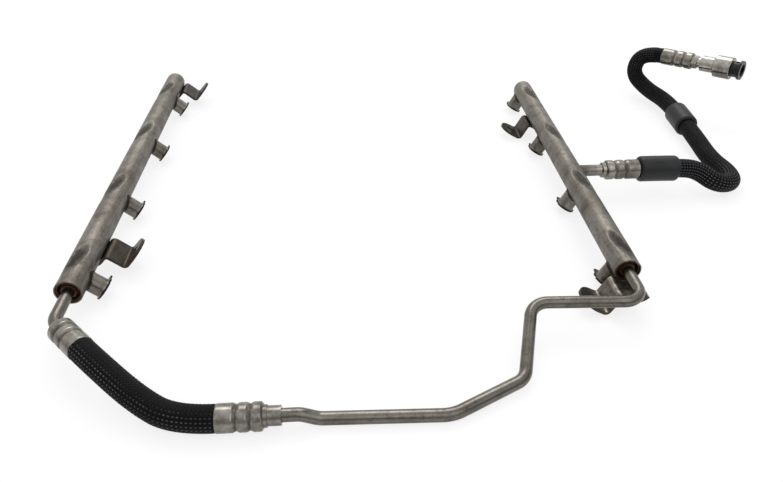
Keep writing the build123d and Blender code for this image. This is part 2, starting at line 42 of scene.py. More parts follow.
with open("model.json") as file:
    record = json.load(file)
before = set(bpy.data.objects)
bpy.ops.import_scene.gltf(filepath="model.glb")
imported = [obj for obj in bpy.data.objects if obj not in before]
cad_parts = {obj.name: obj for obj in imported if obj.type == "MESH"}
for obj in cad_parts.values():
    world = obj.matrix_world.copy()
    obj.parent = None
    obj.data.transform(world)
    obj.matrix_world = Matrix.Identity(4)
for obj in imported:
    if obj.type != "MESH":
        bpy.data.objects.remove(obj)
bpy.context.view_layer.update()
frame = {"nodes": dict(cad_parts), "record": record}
MM = 0.001
RAILS = ("left", "right")
CUPS = range(1, 5)

# Route of the free inlet hose in metres: the control points of one smooth line
HOSE_ROUTE = [
    (0.26365, 0.0072, 0.0263),
    (0.30825, 0.0072, 0.0263),
    (0.32725, 0.0071, 0.0232),
    (0.34295, -0.0067, 0.0146),
    (0.36415, -0.0008, 0.0106),
    (0.37135, 0.0202, 0.0099),
    (0.36585, 0.0519, 0.0099),
    (0.37005, 0.1000, 0.0128),
    (0.37605, 0.1920, 0.0154),
    (0.36605, 0.2389, 0.0140),
    (0.35085, 0.2605, 0.0293),
    (0.35935, 0.2599, 0.0566),
    (0.37865, 0.2388, 0.0585),
]

# Line of the crossover hose between its two ferrules
CROSSOVER_ROUTE = [
    (-0.22332, -0.21816, 0.0243),
    (-0.21358, -0.22821, 0.0243),
    (-0.17830, -0.25750, 0.0140),
    (-0.15030, -0.27430, 0.0099),
    (-0.12320, -0.27430, 0.0099),
]

# Corners of the crossover pipe after its run out of the right rail, and the radius of each bend
PIPE_CORNERS = [
    (0.10635, -0.18950, 0.02450),
    (0.08955, -0.24950, 0.00595),
    (0.03410, -0.27730, 0.00475),
    (-0.05570, -0.27430, 0.00475),
    (-0.06800, -0.27430, 0.00990),
    (-0.08630, -0.27430, 0.00990),
]
PIPE_BENDS = (0.015, 0.015, 0.015, 0.030, 0.015, 0.015)

# How far each pipe runs straight out of its rail to its first corner, and into the plug
LEFT_RUN, RIGHT_RUN, PLUGGED_RUN = 0.0332, 0.0374, 0.010

# Dents of each rail: distance of the first from the open end and their pitch in millimetres, their
# angle round the tube in degrees, and the way they slant
DENTS = {
    "left": (28.0, 118.0, 105.0, -1.0),
    "right": (20.6, 105.7, 75.0, 1.0),
}


def linear(code, alpha=1.0):
    """A colour written as sRGB hex, in the linear values that shaders use."""
    srgb = np.array([int(code[i:i + 2], 16) / 255 for i in (0, 2, 4)])
    low, high = srgb / 12.92, ((srgb + 0.055) / 1.055) ** 2.4
    return (*np.where(srgb <= 0.04045, low, high).tolist(), alpha)


def feed(tree, made, inputs):
    """Set inputs of a node: each is a value, a socket, or a node whose first output is linked."""
    for key, value in inputs.items():
        if isinstance(value, bpy.types.Node):
            value = value.outputs[0]
        if isinstance(value, bpy.types.NodeSocket):
            tree.links.new(value, made.inputs[key])
        else:
            made.inputs[key].default_value = value


def node(tree, kind, inputs=None, **settings):
    """Add one shader node. Settings are its properties."""
    made = tree.nodes.new(kind)
    for key, value in settings.items():
        setattr(made, key, value)
    feed(tree, made, inputs or {})
    return made


def new_material(name):
    """A new material, its node tree and its Principled shader."""
    made = bpy.data.materials.new(name)
    made.use_nodes = True
    return made, made.node_tree, made.node_tree.nodes["Principled BSDF"]


def size(name, text, value):
    """A length in metres for the sidebar, given here in millimetres."""
    return FloatProperty(name=name, description=text, default=value * MM, min=0, unit="LENGTH")


def angle(name, text, degrees):
    """An angle for the sidebar, given here in degrees."""
    return FloatProperty(name=name, description=text, default=degrees * pi / 180, unit="ROTATION")


def paint(name, text, code):
    """A colour for the sidebar, given here as sRGB hex."""
    return FloatVectorProperty(name=name, description=text, default=linear(code), size=4,
                               min=0, max=1, subtype="COLOR")


class RailSizes(bpy.types.PropertyGroup):
    """Sizes of the rail tubes, their plugs and the injector cups."""

    wall: size("Wall", "Wall of the rail tube", 1.2)
    dome: size("Dome", "Depth of the spun rear end", 9.0)
    edge: size("Edge", "Break of the tube's open edge", 0.25)
    dent_depth: size("Dent depth", "How deep a dent is pressed", 3.6)
    dent_tool: size("Dent tool", "Radius of the pressing tool", 13.0)
    dent_rim: size("Dent rim", "Width over which a dent's rim is rounded", 0.7)
    dent_slant: angle("Dent slant", "Angle of a dent against the tube's cross-section", 60)
    cup_bore: size("Cup bore", "Radius of an injector cup's bore", 7.0)
    cup_wall: size("Cup wall", "Wall of an injector cup", 1.15)
    cup_reach: size("Cup reach", "Distance of a cup's mouth from the tube's axis", 24.3)
    cup_lip: size("Cup lip", "Width of the lip outside the cup", 1.7)
    cup_lip_thickness: size("Lip thickness", "Thickness of the cup's lip", 1.3)
    cup_ear: size("Ear reach", "Reach of the lip's ear from the cup's axis", 12.4)
    cup_ear_half: size("Ear half width", "Half of the width of the lip's ear", 6.5)
    braze: size("Braze fillet", "Leg of the braze fillet at a cup's foot", 1.5)


class HoseSizes(bpy.types.PropertyGroup):
    """Sizes of the hoses and of what is crimped or pushed on them."""

    radius: size("Hose radius", "Radius over the braid", 9.6)
    strands: IntProperty(name="Strands", description="Braid strands one way round", default=20, min=8)
    lay: size("Braid lay", "Distance between crossings along the hose", 2.9)
    relief: size("Braid relief", "Height of a strand over the crossings", 0.38)
    bare: size("Bare end", "Smooth stretch of hose before the end ferrule", 8.0)
    ferrule: size("Ferrule radius", "Outside radius of a crimped ferrule", 9.9)
    crimp: size("Crimp depth", "Depth of a rolled groove in a ferrule", 0.95)
    neck: size("Neck radius", "Radius of the fittings' necks", 6.0)
    bead: size("Bead radius", "Outside radius of the ring that stops a ferrule", 7.7)
    pipe: size("Pipe radius", "Outside radius of the bent pipes", 4.75)
    pipe_wall: size("Pipe wall", "Wall of the bent pipes", 0.9)
    shank: size("Shank radius", "Outside radius of the inlet stem", 5.75)
    stem_bore: size("Stem bore", "Radius of the inlet stem's bore", 3.2)
    bumper: size("Bumper radius", "Outside radius of a rubber bumper", 13.0)
    bumper_length: size("Bumper length", "Length of a rubber bumper", 40.0)
    bumper_edge: size("Bumper edge", "Rounding of a bumper's ends", 3.0)


class Finishes(bpy.types.PropertyGroup):
    """Colours of the materials."""

    steel: paint("Rail steel", "Drawn stainless tube", "807b74")
    steel_stain: paint("Rail stain", "Brown film on the tube", "5a5248")
    # Besides dark oxide at brazed joints, this colour is painted shade under the cups' lips and in the
    # ferrules' grooves. The dents take a painted shade of their own.
    scale: paint("Scale", "Dark oxide in dents and at brazed joints", "332b27")
    rust: paint("Rust", "Rust at the front ends", "6d4227")
    bright: paint("Bright steel", "Drawn pipe", "74706a")
    strip: paint("Strip", "Oxidised bracket strip", "4a433b")
    fitting: paint("Fitting", "Crimped and turned steel", "97928b")
    braid: paint("Braid", "Black polyester strands", "080809")
    fleck: paint("Fleck", "Worn and glinting strands", "606166")
    rubber: paint("Rubber", "Moulded bumper", "101113")
    nylon: paint("Nylon", "Connector retainer", "0c0c0d")
    floor: paint("Floor", "Studio floor", "fcfcfc")


def surface(name, points, along, closed=False, caps=(False, False), values=None, sharp=38):
    """A mesh over a grid of points whose columns run round and whose rows run along.

    The last column joins the first, and the last row too if the surface is closed. A cap is a fan
    to the middle of an end row. Faces are turned outwards where the enclosed volume is negative.
    The UV map holds turns round in U and metres along in V.
    """
    rows, columns = points.shape[:2]
    i, j = np.meshgrid(np.arange(rows if closed else rows - 1), np.arange(columns), indexing="ij")
    below, beside = (i + 1) % rows, (j + 1) % columns
    quads = np.stack([i * columns + j, i * columns + beside,
                      below * columns + beside, below * columns + j], -1).reshape(-1, 4)
    u = np.stack([j, j + 1, j + 1, j], -1).reshape(-1, 4) / columns
    reach = np.append(along, along[-1] + (along[-1] - along[-2]) if closed else along[-1])
    v = np.stack([reach[i], reach[i], reach[i + 1], reach[i + 1]], -1).reshape(-1, 4)
    verts = [points.reshape(-1, 3)]
    fans, fan_u, fan_v = [], [], []
    for last, wanted in enumerate(caps):
        if wanted:
            ring = np.arange(columns) + (rows - 1) * columns * last
            centre = rows * columns + len(fans)
            order = [ring, np.roll(ring, -1)] if last else [np.roll(ring, -1), ring]
            fans.append(np.stack([*order, np.full(columns, centre)], -1))
            turns = np.arange(columns) / columns
            fan_u.append(np.stack([turns, turns + 1 / columns, turns], -1))
            fan_v.append(np.full((columns, 3), along[-1 if last else 0]))
            verts.append(points[-1 if last else 0].mean(0)[None])
    verts = np.concatenate(verts)
    fans = np.concatenate(fans) if fans else np.zeros((0, 3), int)
    triangles = np.concatenate([quads[:, [0, 1, 2]], quads[:, [0, 2, 3]], fans])
    a, b, c = (verts[triangles[:, k]] for k in range(3))
    if np.einsum("ij,ij->i", a, np.cross(b, c)).sum() < 0:
        quads, u, v, fans = quads[:, ::-1], u[:, ::-1], v[:, ::-1], fans[:, ::-1]
        fan_u, fan_v = [f[:, ::-1] for f in fan_u], [f[:, ::-1] for f in fan_v]
    mesh = bpy.data.meshes.new(name)
    mesh.from_pydata(verts.tolist(), [], quads.tolist() + fans.tolist())
    texture = np.stack([np.concatenate([u.ravel(), *[f.ravel() for f in fan_u]]),
                        np.concatenate([v.ravel(), *[f.ravel() for f in fan_v]])], -1)
    mesh.uv_layers.new(name="UVMap").data.foreach_set("uv", texture.astype(np.float32).ravel())
    for key, grid in (values or {}).items():
        amount = np.broadcast_to(grid, (rows, columns)).ravel()
        amount = np.append(amount, np.full(len(verts) - rows * columns, amount[-1]))
        layer = mesh.attributes.new(key, "FLOAT", "POINT")
        layer.data.foreach_set("value", amount.astype(np.float32))
    mesh.shade_smooth()
    mesh.set_sharp_from_angle(angle=sharp * pi / 180)
    mesh.validate()
    made = bpy.data.objects.new(name, mesh)
    bpy.context.scene.collection.objects.link(made)
    return made


def travelled(line):
    """Distance travelled to each point of a line of points."""
    return np.append(0, np.cumsum(np.linalg.norm(np.diff(line, axis=0), axis=1)))


def round_turns(columns):
    """Angles of the columns that run round a piece."""
    return 2 * pi * np.arange(columns) / columns


def unit(vector):
    """The vector at length one."""
    return vector / np.linalg.norm(vector)


def directions(path):
    """Two directions square to a path at each of its points, which turn as little as they can.

    Each point first gets directions from a fixed one. The turn between neighbours is then added
    up along the path and taken out of them.
    """
    tangent = np.gradient(path, axis=0)
    tangent /= np.linalg.norm(tangent, axis=1, keepdims=True)
    side = np.cross(tangent, (0.0, 0.0, 1.0))
    side /= np.linalg.norm(side, axis=1, keepdims=True)
    over = np.cross(side, tangent)
    step = np.arctan2((side[:-1] * over[1:]).sum(1), (side[:-1] * side[1:]).sum(1))
    turn = np.append(0, np.cumsum(step))[:, None]
    first = np.cos(turn) * side + np.sin(turn) * over
    return first, np.cross(tangent, first)


def carried(path, distance, radius):
    """Points of a round profile carried along a path.

    Row i lies at distance i along the path, and column j at angle 2 pi j / columns, at that
    place's radius from the path, square to it.
    """
    first, second = directions(path)
    reach = travelled(path)

    def at(values):
        return np.stack([np.interp(distance, reach, values[:, k]) for k in range(3)], -1)[:, None]

    turns = round_turns(radius.shape[1])[None, :, None]
    return at(path) + (at(first) * np.cos(turns) + at(second) * np.sin(turns)) * radius[:, :, None]


def turned(name, start, direction, profile, ripple, values):
    """A turned piece: a closed profile of (distance, radius) in millimetres round an axis.

    The ripple is a grid that is added to the radius.
    """
    distance, radius = np.array(profile, float).T * MM
    start, direction = np.array(start, float), np.array(direction, float)
    low, high, path_points = distance.min() - MM, distance.max() + MM, 9
    path = start + direction * np.linspace(low, high, path_points)[:, None]
    points = carried(path, distance - low, radius[:, None] + ripple)
    along = travelled(np.stack([distance, radius], -1))
    return surface(name, points, along, closed=True, values=values)


def finish(piece, slot, material, *nodes):
    """Give a piece its material and let it stand for its CAD nodes. The slot is not used."""
    piece.data.materials.append(material)
    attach(piece, "root")
    if nodes:
        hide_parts(*nodes)
    return piece


def dress(name, material):
    """Give its material to a CAD piece that is shown as it is."""
    materials = frame["nodes"][name].data.materials
    materials.clear()
    materials.append(material)


def mount(name):
    """Place and axis of one of the record's mounts."""
    found = next(m for m in frame["record"]["mounts"] if m["name"] == name)
    return np.array(found["pos_m"]), np.array(found["axis"])


def axis_grid(turns, along):
    """Outward directions at each angle, and places on a rail's axis at each distance."""
    ray = np.stack([np.cos(turns), np.zeros_like(turns), np.sin(turns)], -1)[None]
    place = np.stack([np.zeros_like(along), along, np.zeros_like(along)], -1)[:, None]
    return ray, place


class Rail:
    """One rail read from the frame: its axis runs to +Y from the open front end.

    Each dent is pressed by a cylinder whose line slants across the tube.
    """

    def __init__(self, name):
        low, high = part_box(name + "_rail_tube")
        self.name = name
        self.radius = (high.x - low.x) / 2
        self.start = np.array([(low.x + high.x) / 2, low.y, (low.z + high.z) / 2])
        self.length = high.y - low.y
        self.sizes = bpy.context.scene.fuel_rail_rails
        first, pitch, degrees, turn = DENTS[name]
        dent = degrees * pi / 180
        slant = self.sizes.dent_slant
        radial = np.array([np.cos(dent), 0, np.sin(dent)])
        around = np.array([-np.sin(dent), 0, np.cos(dent)])
        self.tool_line = around * np.cos(slant) + np.array([0, turn, 0]) * np.sin(slant)
        across = np.cross(self.tool_line, radial)
        self.rearwards = across * np.sign(across[1])
        offset = self.radius + self.sizes.dent_tool - self.sizes.dent_depth
        self.tools = [radial * offset + np.array([0, (first + k * pitch) * MM, 0]) for k in range(4)]

    def dented(self, turns, along, plain):
        """Radius of the dented tube at each angle and distance.

        A ray from the axis meets a pressing tool, a cylinder of radius T about a slanting line,
        where its distance to that line is T: a quadratic in the radius, whose smaller root counts.
        The smaller of that root and the plain radius is taken, eased over the rim's width. The
        second grid is painted shade: it tells how deep in a dent a place is, and counts most the rear
        wall, which faces away from the key light.
        """
        ray, place = axis_grid(turns, along)
        radius = np.broadcast_to(plain[:, None], (len(along), len(turns))).copy()
        shade = np.zeros_like(radius)
        rim = self.sizes.dent_rim
        dark_at_middle, darker_over = 0.45, 0.009
        across = ray @ self.tool_line
        for tool in self.tools:
            offset = place - tool
            lengthwise = offset @ self.tool_line
            a = 1 - across ** 2
            b = 2 * ((ray * offset).sum(-1) - across * lengthwise)
            c = (offset ** 2).sum(-1) - lengthwise ** 2 - self.sizes.dent_tool ** 2
            inside = b ** 2 - 4 * a * c
            root = (-b - np.sqrt(np.maximum(inside, 0))) / (2 * a)
            root = np.where((inside > 0) & (root > 0), root, 1.0)
            depth = np.clip((radius - root) / self.sizes.dent_depth, 0, 1)
            side = (offset + ray * root[:, :, None]) @ self.rearwards
            # Painted shade in the dent, darkest on its rear wall
            shade += np.sqrt(depth) * np.clip(dark_at_middle + side / darker_over, 0, 1)
            blend = np.clip(0.5 + 0.5 * (root - radius) / rim, 0, 1)
            radius = root * (1 - blend) + radius * blend - rim * blend * (1 - blend)
        return radius, shade

    def points(self, turns, along, radius):
        """Grid points at angles, distances and radii round the axis."""
        ray, place = axis_grid(turns, along)
        return self.start + place + ray * radius[:, :, None]


def round_place(tree):
    """Place on a carried or turned surface without a seam: a unit circle of U, and metres of V."""
    parts = node(tree, "ShaderNodeSeparateXYZ",
                 {0: node(tree, "ShaderNodeUVMap", uv_map="UVMap").outputs["UV"]}).outputs
    turn = node(tree, "ShaderNodeMath", {0: parts[0], 1: 2 * pi}, operation="MULTIPLY")
    cosine = node(tree, "ShaderNodeMath", {0: turn}, operation="COSINE")
    sine = node(tree, "ShaderNodeMath", {0: turn}, operation="SINE")
    return node(tree, "ShaderNodeCombineXYZ", {0: cosine, 1: sine, 2: parts[1]})


def stained(tree, whole, base, film):
    """Base colour under clouds of film some 30 mm wide and dark spots of 6 mm.

    The spots grow denser to the front, where road dirt and damp got at the rail. Returns the
    colour, how much film there is, and the pattern of the clouds.
    """
    clouds = node(tree, "ShaderNodeTexNoise", {"Vector": whole, "Scale": 1 / 0.030, "Detail": 8.0,
                                               "Roughness": 0.74}).outputs["Fac"]
    patch = node(tree, "ShaderNodeMapRange", {"Value": clouds, "From Min": 0.44, "From Max": 0.66,
                                              "To Max": 0.85})
    spots = node(tree, "ShaderNodeTexNoise", {"Vector": whole, "Scale": 1 / 0.006, "Detail": 4.0,
                                              "Roughness": 0.7}).outputs["Fac"]
    spot = node(tree, "ShaderNodeMapRange", {"Value": spots, "From Min": 0.52, "From Max": 0.72})
    filmed = node(tree, "ShaderNodeMix", {"Factor": patch, "A": base, "B": film},
                  data_type="RGBA").outputs["Result"]
    ahead = node(tree, "ShaderNodeSeparateXYZ", {0: whole}).outputs[1]
    dense = node(tree, "ShaderNodeMapRange", {"Value": ahead, "From Min": 0.25, "From Max": -0.2,
                                              "To Min": 0.3, "To Max": 0.85})
    speck = node(tree, "ShaderNodeMath", {0: spot, 1: dense}, operation="MULTIPLY")
    dirt = node(tree, "ShaderNodeMix", {"Factor": 0.5, "A": film, "B": linear("3a322b")},
                data_type="RGBA").outputs["Result"]
    colour = node(tree, "ShaderNodeMix", {"Factor": speck, "A": filmed, "B": dirt},
                  data_type="RGBA").outputs["Result"]
    return colour, patch, clouds


def shaded_below(tree, clouds, colour):
    """The colour with painted shade on the underside, which the outward direction tells, broken by the
    clouds.
    """
    outwards = node(tree, "ShaderNodeTexCoord").outputs["Normal"]
    lower = node(tree, "ShaderNodeSeparateXYZ", {0: outwards}).outputs[2]
    broken = node(tree, "ShaderNodeMath", {0: clouds, 1: -0.8, 2: lower}, operation="MULTIPLY_ADD")
    # Painted shade, darkest where the surface faces down
    under_shade = node(tree, "ShaderNodeMapRange", {"Value": broken, "From Min": -0.2, "From Max": -1.2,
                                            "To Max": 0.7})
    return node(tree, "ShaderNodeMix", {"Factor": under_shade, "A": colour, "B": linear("1e1916")},
                data_type="RGBA").outputs["Result"]


def steel_material(name, base, film, metallic, rough, grain, follows_surface=False):
    """A metal whose base colour is broken by film, spots, a fine grain and painted shade underneath.

    Grain is the size of the fine pattern in metres along X, Y and Z. Where it follows the surface,
    its first two numbers are shares of the radius, round the piece, and its third is metres along.
    """
    made, tree, shader = new_material(name)
    whole = node(tree, "ShaderNodeTexCoord").outputs["Object"]
    place = round_place(tree) if follows_surface else whole
    colour, patch, clouds = stained(tree, whole, base, film)
    stretched = node(tree, "ShaderNodeMapping", {"Vector": place, "Scale": [1 / g for g in grain]})
    lines = node(tree, "ShaderNodeTexNoise", {"Vector": stretched, "Scale": 1.0,
                                              "Detail": 4.0, "Roughness": 0.6}).outputs["Fac"]
    shade = node(tree, "ShaderNodeMapRange", {"Value": lines, "From Min": 0.3, "From Max": 0.7,
                                              "To Min": 0.68, "To Max": 1.18})
    colour = node(tree, "ShaderNodeMix", {"Factor": 1.0, "A": colour, "B": shade},
                  data_type="RGBA", blend_type="MULTIPLY").outputs["Result"]
    # Painted shade on the underside
    colour = shaded_below(tree, clouds, colour)
    gloss = node(tree, "ShaderNodeMapRange", {"Value": lines, "From Min": 0.25, "From Max": 0.75,
                                              "To Min": rough - 0.06, "To Max": rough + 0.08})
    dull = node(tree, "ShaderNodeMath", {0: patch, 1: 0.12, 2: gloss}, operation="MULTIPLY_ADD")
    bump = node(tree, "ShaderNodeBump", {"Height": lines, "Strength": 0.25, "Distance": 0.00006})
    feed(tree, shader, {"Base Color": colour, "Metallic": metallic, "Roughness": dull, "Normal": bump})
    return made


def covered(steel, amount, cover, cover_rough):
    """Lay a second colour and roughness over a metal where the amount is one."""
    tree = steel.node_tree
    shader = tree.nodes["Principled BSDF"]
    for name, kind, over in (("Base Color", "RGBA", cover), ("Roughness", "FLOAT", cover_rough)):
        under = shader.inputs[name].links[0].from_socket
        mixed = node(tree, "ShaderNodeMix", {"Factor": amount, "A": under, "B": over}, data_type=kind)
        feed(tree, shader, {name: mixed.outputs["Result"]})


def ragged(tree, name, low, high, grain, most=1.0):
    """A painted attribute whose border is broken by noise of the given size, up to the most."""
    value = node(tree, "ShaderNodeAttribute", attribute_name=name).outputs["Fac"]
    whole = node(tree, "ShaderNodeTexCoord").outputs["Object"]
    noise = node(tree, "ShaderNodeTexNoise", {"Vector": whole, "Scale": 1 / grain, "Detail": 4.0})
    pushed = node(tree, "ShaderNodeMath", {0: noise.outputs["Fac"], 1: 0.7, 2: value},
                  operation="MULTIPLY_ADD")
    return node(tree, "ShaderNodeMapRange", {"Value": pushed, "From Min": low + 0.35,
                                             "From Max": high + 0.35, "To Max": most})


def rail_steel(paints):
    """Drawn stainless tube: a dull grey with a brown handling film, painted shade in dents, rusty ends.
    """
    steel = steel_material("drawn_stainless_tube", paints.steel, paints.steel_stain, 0.9, 0.43,
                           (0.0013, 0.03, 0.0013))
    # Painted shade in the dents, darkest on their rear walls
    dent = ragged(steel.node_tree, "dent", 0.1, 0.7, 0.005, 0.95)
    covered(steel, dent, linear("2c2826"), 0.42)
    end = ragged(steel.node_tree, "end", 0.5, 1.0, 0.006, 0.8)
    covered(steel, end, paints.rust, 0.6)
    return steel


def plug_steel(paints):
    """Pressed plug: scale-brown steel with rust in its corners."""
    return steel_material("rusted_pressed_plug", linear("463830"), paints.rust, 0.6, 0.5,
                          (0.001, 0.001, 0.001))


def cup_steel(paints):
    """Deep-drawn cup: bright, drawn along its axis, with a dark braze fillet and painted shade under and
    round its lip.
    """
    steel = steel_material("deep_drawn_cup", paints.steel, linear("4d453d"), 0.95, 0.27,
                           (0.15, 0.15, 0.02), follows_surface=True)
    tree = steel.node_tree
    covered(steel, ragged(tree, "braze", 0.3, 0.9, 0.003), paints.scale, 0.55)
    # Painted shade under the lip and round its rim
    lip = node(tree, "ShaderNodeAttribute", attribute_name="lip").outputs["Fac"]
    covered(steel, lip, paints.scale, 0.5)
    return steel


def strip_steel(paints):
    """Bent bracket strip: brown-grey oxide with darker clouds.

    The top of the right front bracket, nearer the rail than its tab, is rubbed bright, and the bright
    colour lies only on faces that point up, as painted light on that top.
    """
    steel = steel_material("oxidised_bracket_strip", paints.strip, linear("332a23"), 0.85, 0.36,
                           (0.003, 0.012, 0.003))
    tree = steel.node_tree
    whole = node(tree, "ShaderNodeTexCoord").outputs["Object"]
    noise = node(tree, "ShaderNodeTexNoise", {"Vector": whole, "Scale": 1 / 0.005, "Detail": 5.0})
    places = node(tree, "ShaderNodeSeparateXYZ", {0: whole}).outputs
    outwards = node(tree, "ShaderNodeTexCoord").outputs["Normal"]
    upper = node(tree, "ShaderNodeSeparateXYZ", {0: outwards}).outputs[2]
    # A rubbed patch and painted light, kept to faces that point up
    part = 1.0
    for value, low, high in ((noise.outputs["Fac"], 0.3, 0.6), (places[0], 0.163, 0.169),
                             (places[1], 0.0, -0.01), (upper, 0.3, 0.7)):
        share = node(tree, "ShaderNodeMapRange", {"Value": value, "From Min": low, "From Max": high})
        part = node(tree, "ShaderNodeMath", {0: part, 1: share}, operation="MULTIPLY")
    covered(steel, part, linear("918a80"), 0.34)
    return steel


def pipe_steel(paints):
    """Drawn stainless pipe: bright, with die lines along it."""
    return steel_material("bright_drawn_pipe", paints.bright, linear("5a554e"), 0.97, 0.22,
                          (0.16, 0.16, 0.060), follows_surface=True)


def fitting_steel(paints):
    """Turned and crimped fittings: satin steel with a brown film, painted shade in the ferrules' grooves
    and a dark braze fillet at the stem.
    """
    steel = steel_material("crimped_satin_steel", paints.fitting, linear("544e47"), 0.97, 0.2,
                           (0.003, 0.003, 0.003))
    # Painted shade in the ferrules' grooves; on the stem the same values mark its braze fillet
    covered(steel, ragged(steel.node_tree, "groove", 0.3, 1.0, 0.003, 0.65), paints.scale, 0.5)
    return steel


def turned_steel():
    """Turned connector: satin steel, brighter than the crimped fittings and without grooves."""
    return steel_material("turned_satin_steel", linear("b7b3ab"), linear("5c5750"), 0.97, 0.2,
                          (0.003, 0.003, 0.003))


def plain_material(name, colour, other, grain, rough):
    """A moulded surface: one colour clouded by another, with a fine grain."""
    made, tree, shader = new_material(name)
    whole = node(tree, "ShaderNodeTexCoord").outputs["Object"]
    cloud = node(tree, "ShaderNodeTexNoise", {"Vector": whole, "Scale": 1 / 0.012, "Detail": 4.0})
    patch = node(tree, "ShaderNodeMapRange", {"Value": cloud.outputs["Fac"], "From Min": 0.4,
                                              "From Max": 0.7})
    mixed = node(tree, "ShaderNodeMix", {"Factor": patch, "A": colour, "B": other}, data_type="RGBA")
    fine = node(tree, "ShaderNodeTexNoise", {"Vector": whole, "Scale": 1 / grain, "Detail": 3.0})
    gloss = node(tree, "ShaderNodeMapRange", {"Value": fine.outputs["Fac"], "From Min": 0.3,
                                              "From Max": 0.7, "To Min": rough - 0.07,
                                              "To Max": rough + 0.07})
    bump = node(tree, "ShaderNodeBump", {"Height": fine.outputs["Fac"], "Strength": 0.35,
                                         "Distance": 0.0001})
    feed(tree, shader, {"Base Color": mixed.outputs["Result"], "Roughness": gloss,
                        "Normal": bump, "Specular IOR Level": 0.35})
    return made


def braid_material(paints, hose):
    """Braided polyester sleeve: black strands with painted glints where they pass on top.

    U counts turns round the hose and V metres along it, so a strand follows u * strands plus or
    minus v / lay. The two families take turns on top like squares of a chessboard.
    """
    made, tree, shader = new_material("braided_polyester_sleeve")
    place = node(tree, "ShaderNodeUVMap", uv_map="UVMap").outputs["UV"]
    turns, metres = node(tree, "ShaderNodeSeparateXYZ", {0: place}).outputs[:2]
    strand = node(tree, "ShaderNodeMath", {0: turns, 1: float(hose.strands)}, operation="MULTIPLY")
    lay = node(tree, "ShaderNodeMath", {0: metres, 1: hose.lay}, operation="DIVIDE")
    cells, crowns = [], []
    for sign in ("ADD", "SUBTRACT"):
        across = node(tree, "ShaderNodeMath", {0: strand, 1: lay}, operation=sign)
        cells.append(node(tree, "ShaderNodeMath", {0: across}, operation="FLOOR"))
        rest = node(tree, "ShaderNodeMath", {0: across}, operation="FRACT")
        wave = node(tree, "ShaderNodeMath", {0: rest, 1: pi}, operation="MULTIPLY")
        crowns.append(node(tree, "ShaderNodeMath", {0: wave}, operation="SINE"))
    total = node(tree, "ShaderNodeMath", {0: cells[0], 1: cells[1]}, operation="ADD")
    halved = node(tree, "ShaderNodeMath", {0: total, 1: 0.5}, operation="MULTIPLY")
    odd = node(tree, "ShaderNodeMath", {0: halved}, operation="FRACT")
    top = node(tree, "ShaderNodeMath", {0: odd, 1: 0.25}, operation="GREATER_THAN")
    height = node(tree, "ShaderNodeMix", {"Factor": top, "A": crowns[0], "B": crowns[1]},
                  data_type="FLOAT").outputs["Result"]
    # Painted glints lie as dashes in rows along the hose, one at each crossing where one family is on top
    dash = node(tree, "ShaderNodeAttribute", attribute_name="weave").outputs["Fac"]
    for share, low, high in ((strand, 0.45, 0.95), (lay, 0.3, -0.5)):
        turn = node(tree, "ShaderNodeMath", {0: share, 1: 2 * pi}, operation="MULTIPLY")
        wave = node(tree, "ShaderNodeMath", {0: turn}, operation="COSINE")
        near = node(tree, "ShaderNodeMapRange", {"Value": wave, "From Min": low, "From Max": high})
        dash = node(tree, "ShaderNodeMath", {0: dash, 1: near}, operation="MULTIPLY")
    # Patches some 18 mm wide where the painted glints and wear show, with the fuzz of single threads
    whole = node(tree, "ShaderNodeTexCoord").outputs["Object"]
    fuzz, worn_and_glinting = (node(tree, "ShaderNodeTexNoise", {"Vector": whole, "Scale": 1 / grain,
                                                    "Detail": 3.0}).outputs["Fac"]
                  for grain in (0.0012, 0.018))
    wear = node(tree, "ShaderNodeAttribute", attribute_name="wear").outputs["Fac"]
    lift = node(tree, "ShaderNodeMath", {0: fuzz, 1: worn_and_glinting}, operation="ADD")
    lift = node(tree, "ShaderNodeMath", {0: lift, 1: wear}, operation="MULTIPLY")
    bared_and_glinting = node(tree, "ShaderNodeMapRange", {"Value": lift, "From Min": 0.8, "From Max": 1.5})
    fleck = node(tree, "ShaderNodeMath", {0: dash, 1: bared_and_glinting}, operation="MULTIPLY")
    # Painted glint and wear: the lighter fleck colour
    colour = node(tree, "ShaderNodeMix", {"Factor": fleck, "A": paints.braid,
                                          "B": paints.fleck}, data_type="RGBA")
    # Painted shade in the hollows between the strands
    hollow = node(tree, "ShaderNodeMapRange", {"Value": height, "From Min": 0.0, "From Max": 0.6,
                                               "To Min": 0.35, "To Max": 1.0})
    colour = node(tree, "ShaderNodeMix", {"Factor": 1.0, "A": colour.outputs["Result"],
                                          "B": hollow}, data_type="RGBA", blend_type="MULTIPLY")
    bump = node(tree, "ShaderNodeBump", {"Height": height, "Strength": 0.6, "Distance": 0.0003})
    feed(tree, shader, {"Base Color": colour.outputs["Result"], "Roughness": 0.55,
                        "Normal": bump, "Specular IOR Level": 0.1})
    return made


def spline_line(name, route):
    """Points of the smooth line that a route controls: a NURBS spline of order 3, end to end."""
    curve = bpy.data.curves.new(name, "CURVE")
    curve.dimensions = "3D"
    curve.resolution_u = 24
    spline = curve.splines.new("NURBS")
    spline.points.add(len(route) - 1)
    spline.points.foreach_set("co", np.append(np.array(route), np.ones((len(route), 1)), 1).ravel())
    spline.order_u = 3
    spline.use_endpoint_u = True
    holder = bpy.data.objects.new(name, curve)
    mesh = bpy.data.meshes.new_from_object(holder)
    line = np.zeros(len(mesh.vertices) * 3)
    mesh.vertices.foreach_get("co", line)
    bpy.data.objects.remove(holder)
    bpy.data.meshes.remove(mesh)
    bpy.data.curves.remove(curve)
    return line.reshape(-1, 3)


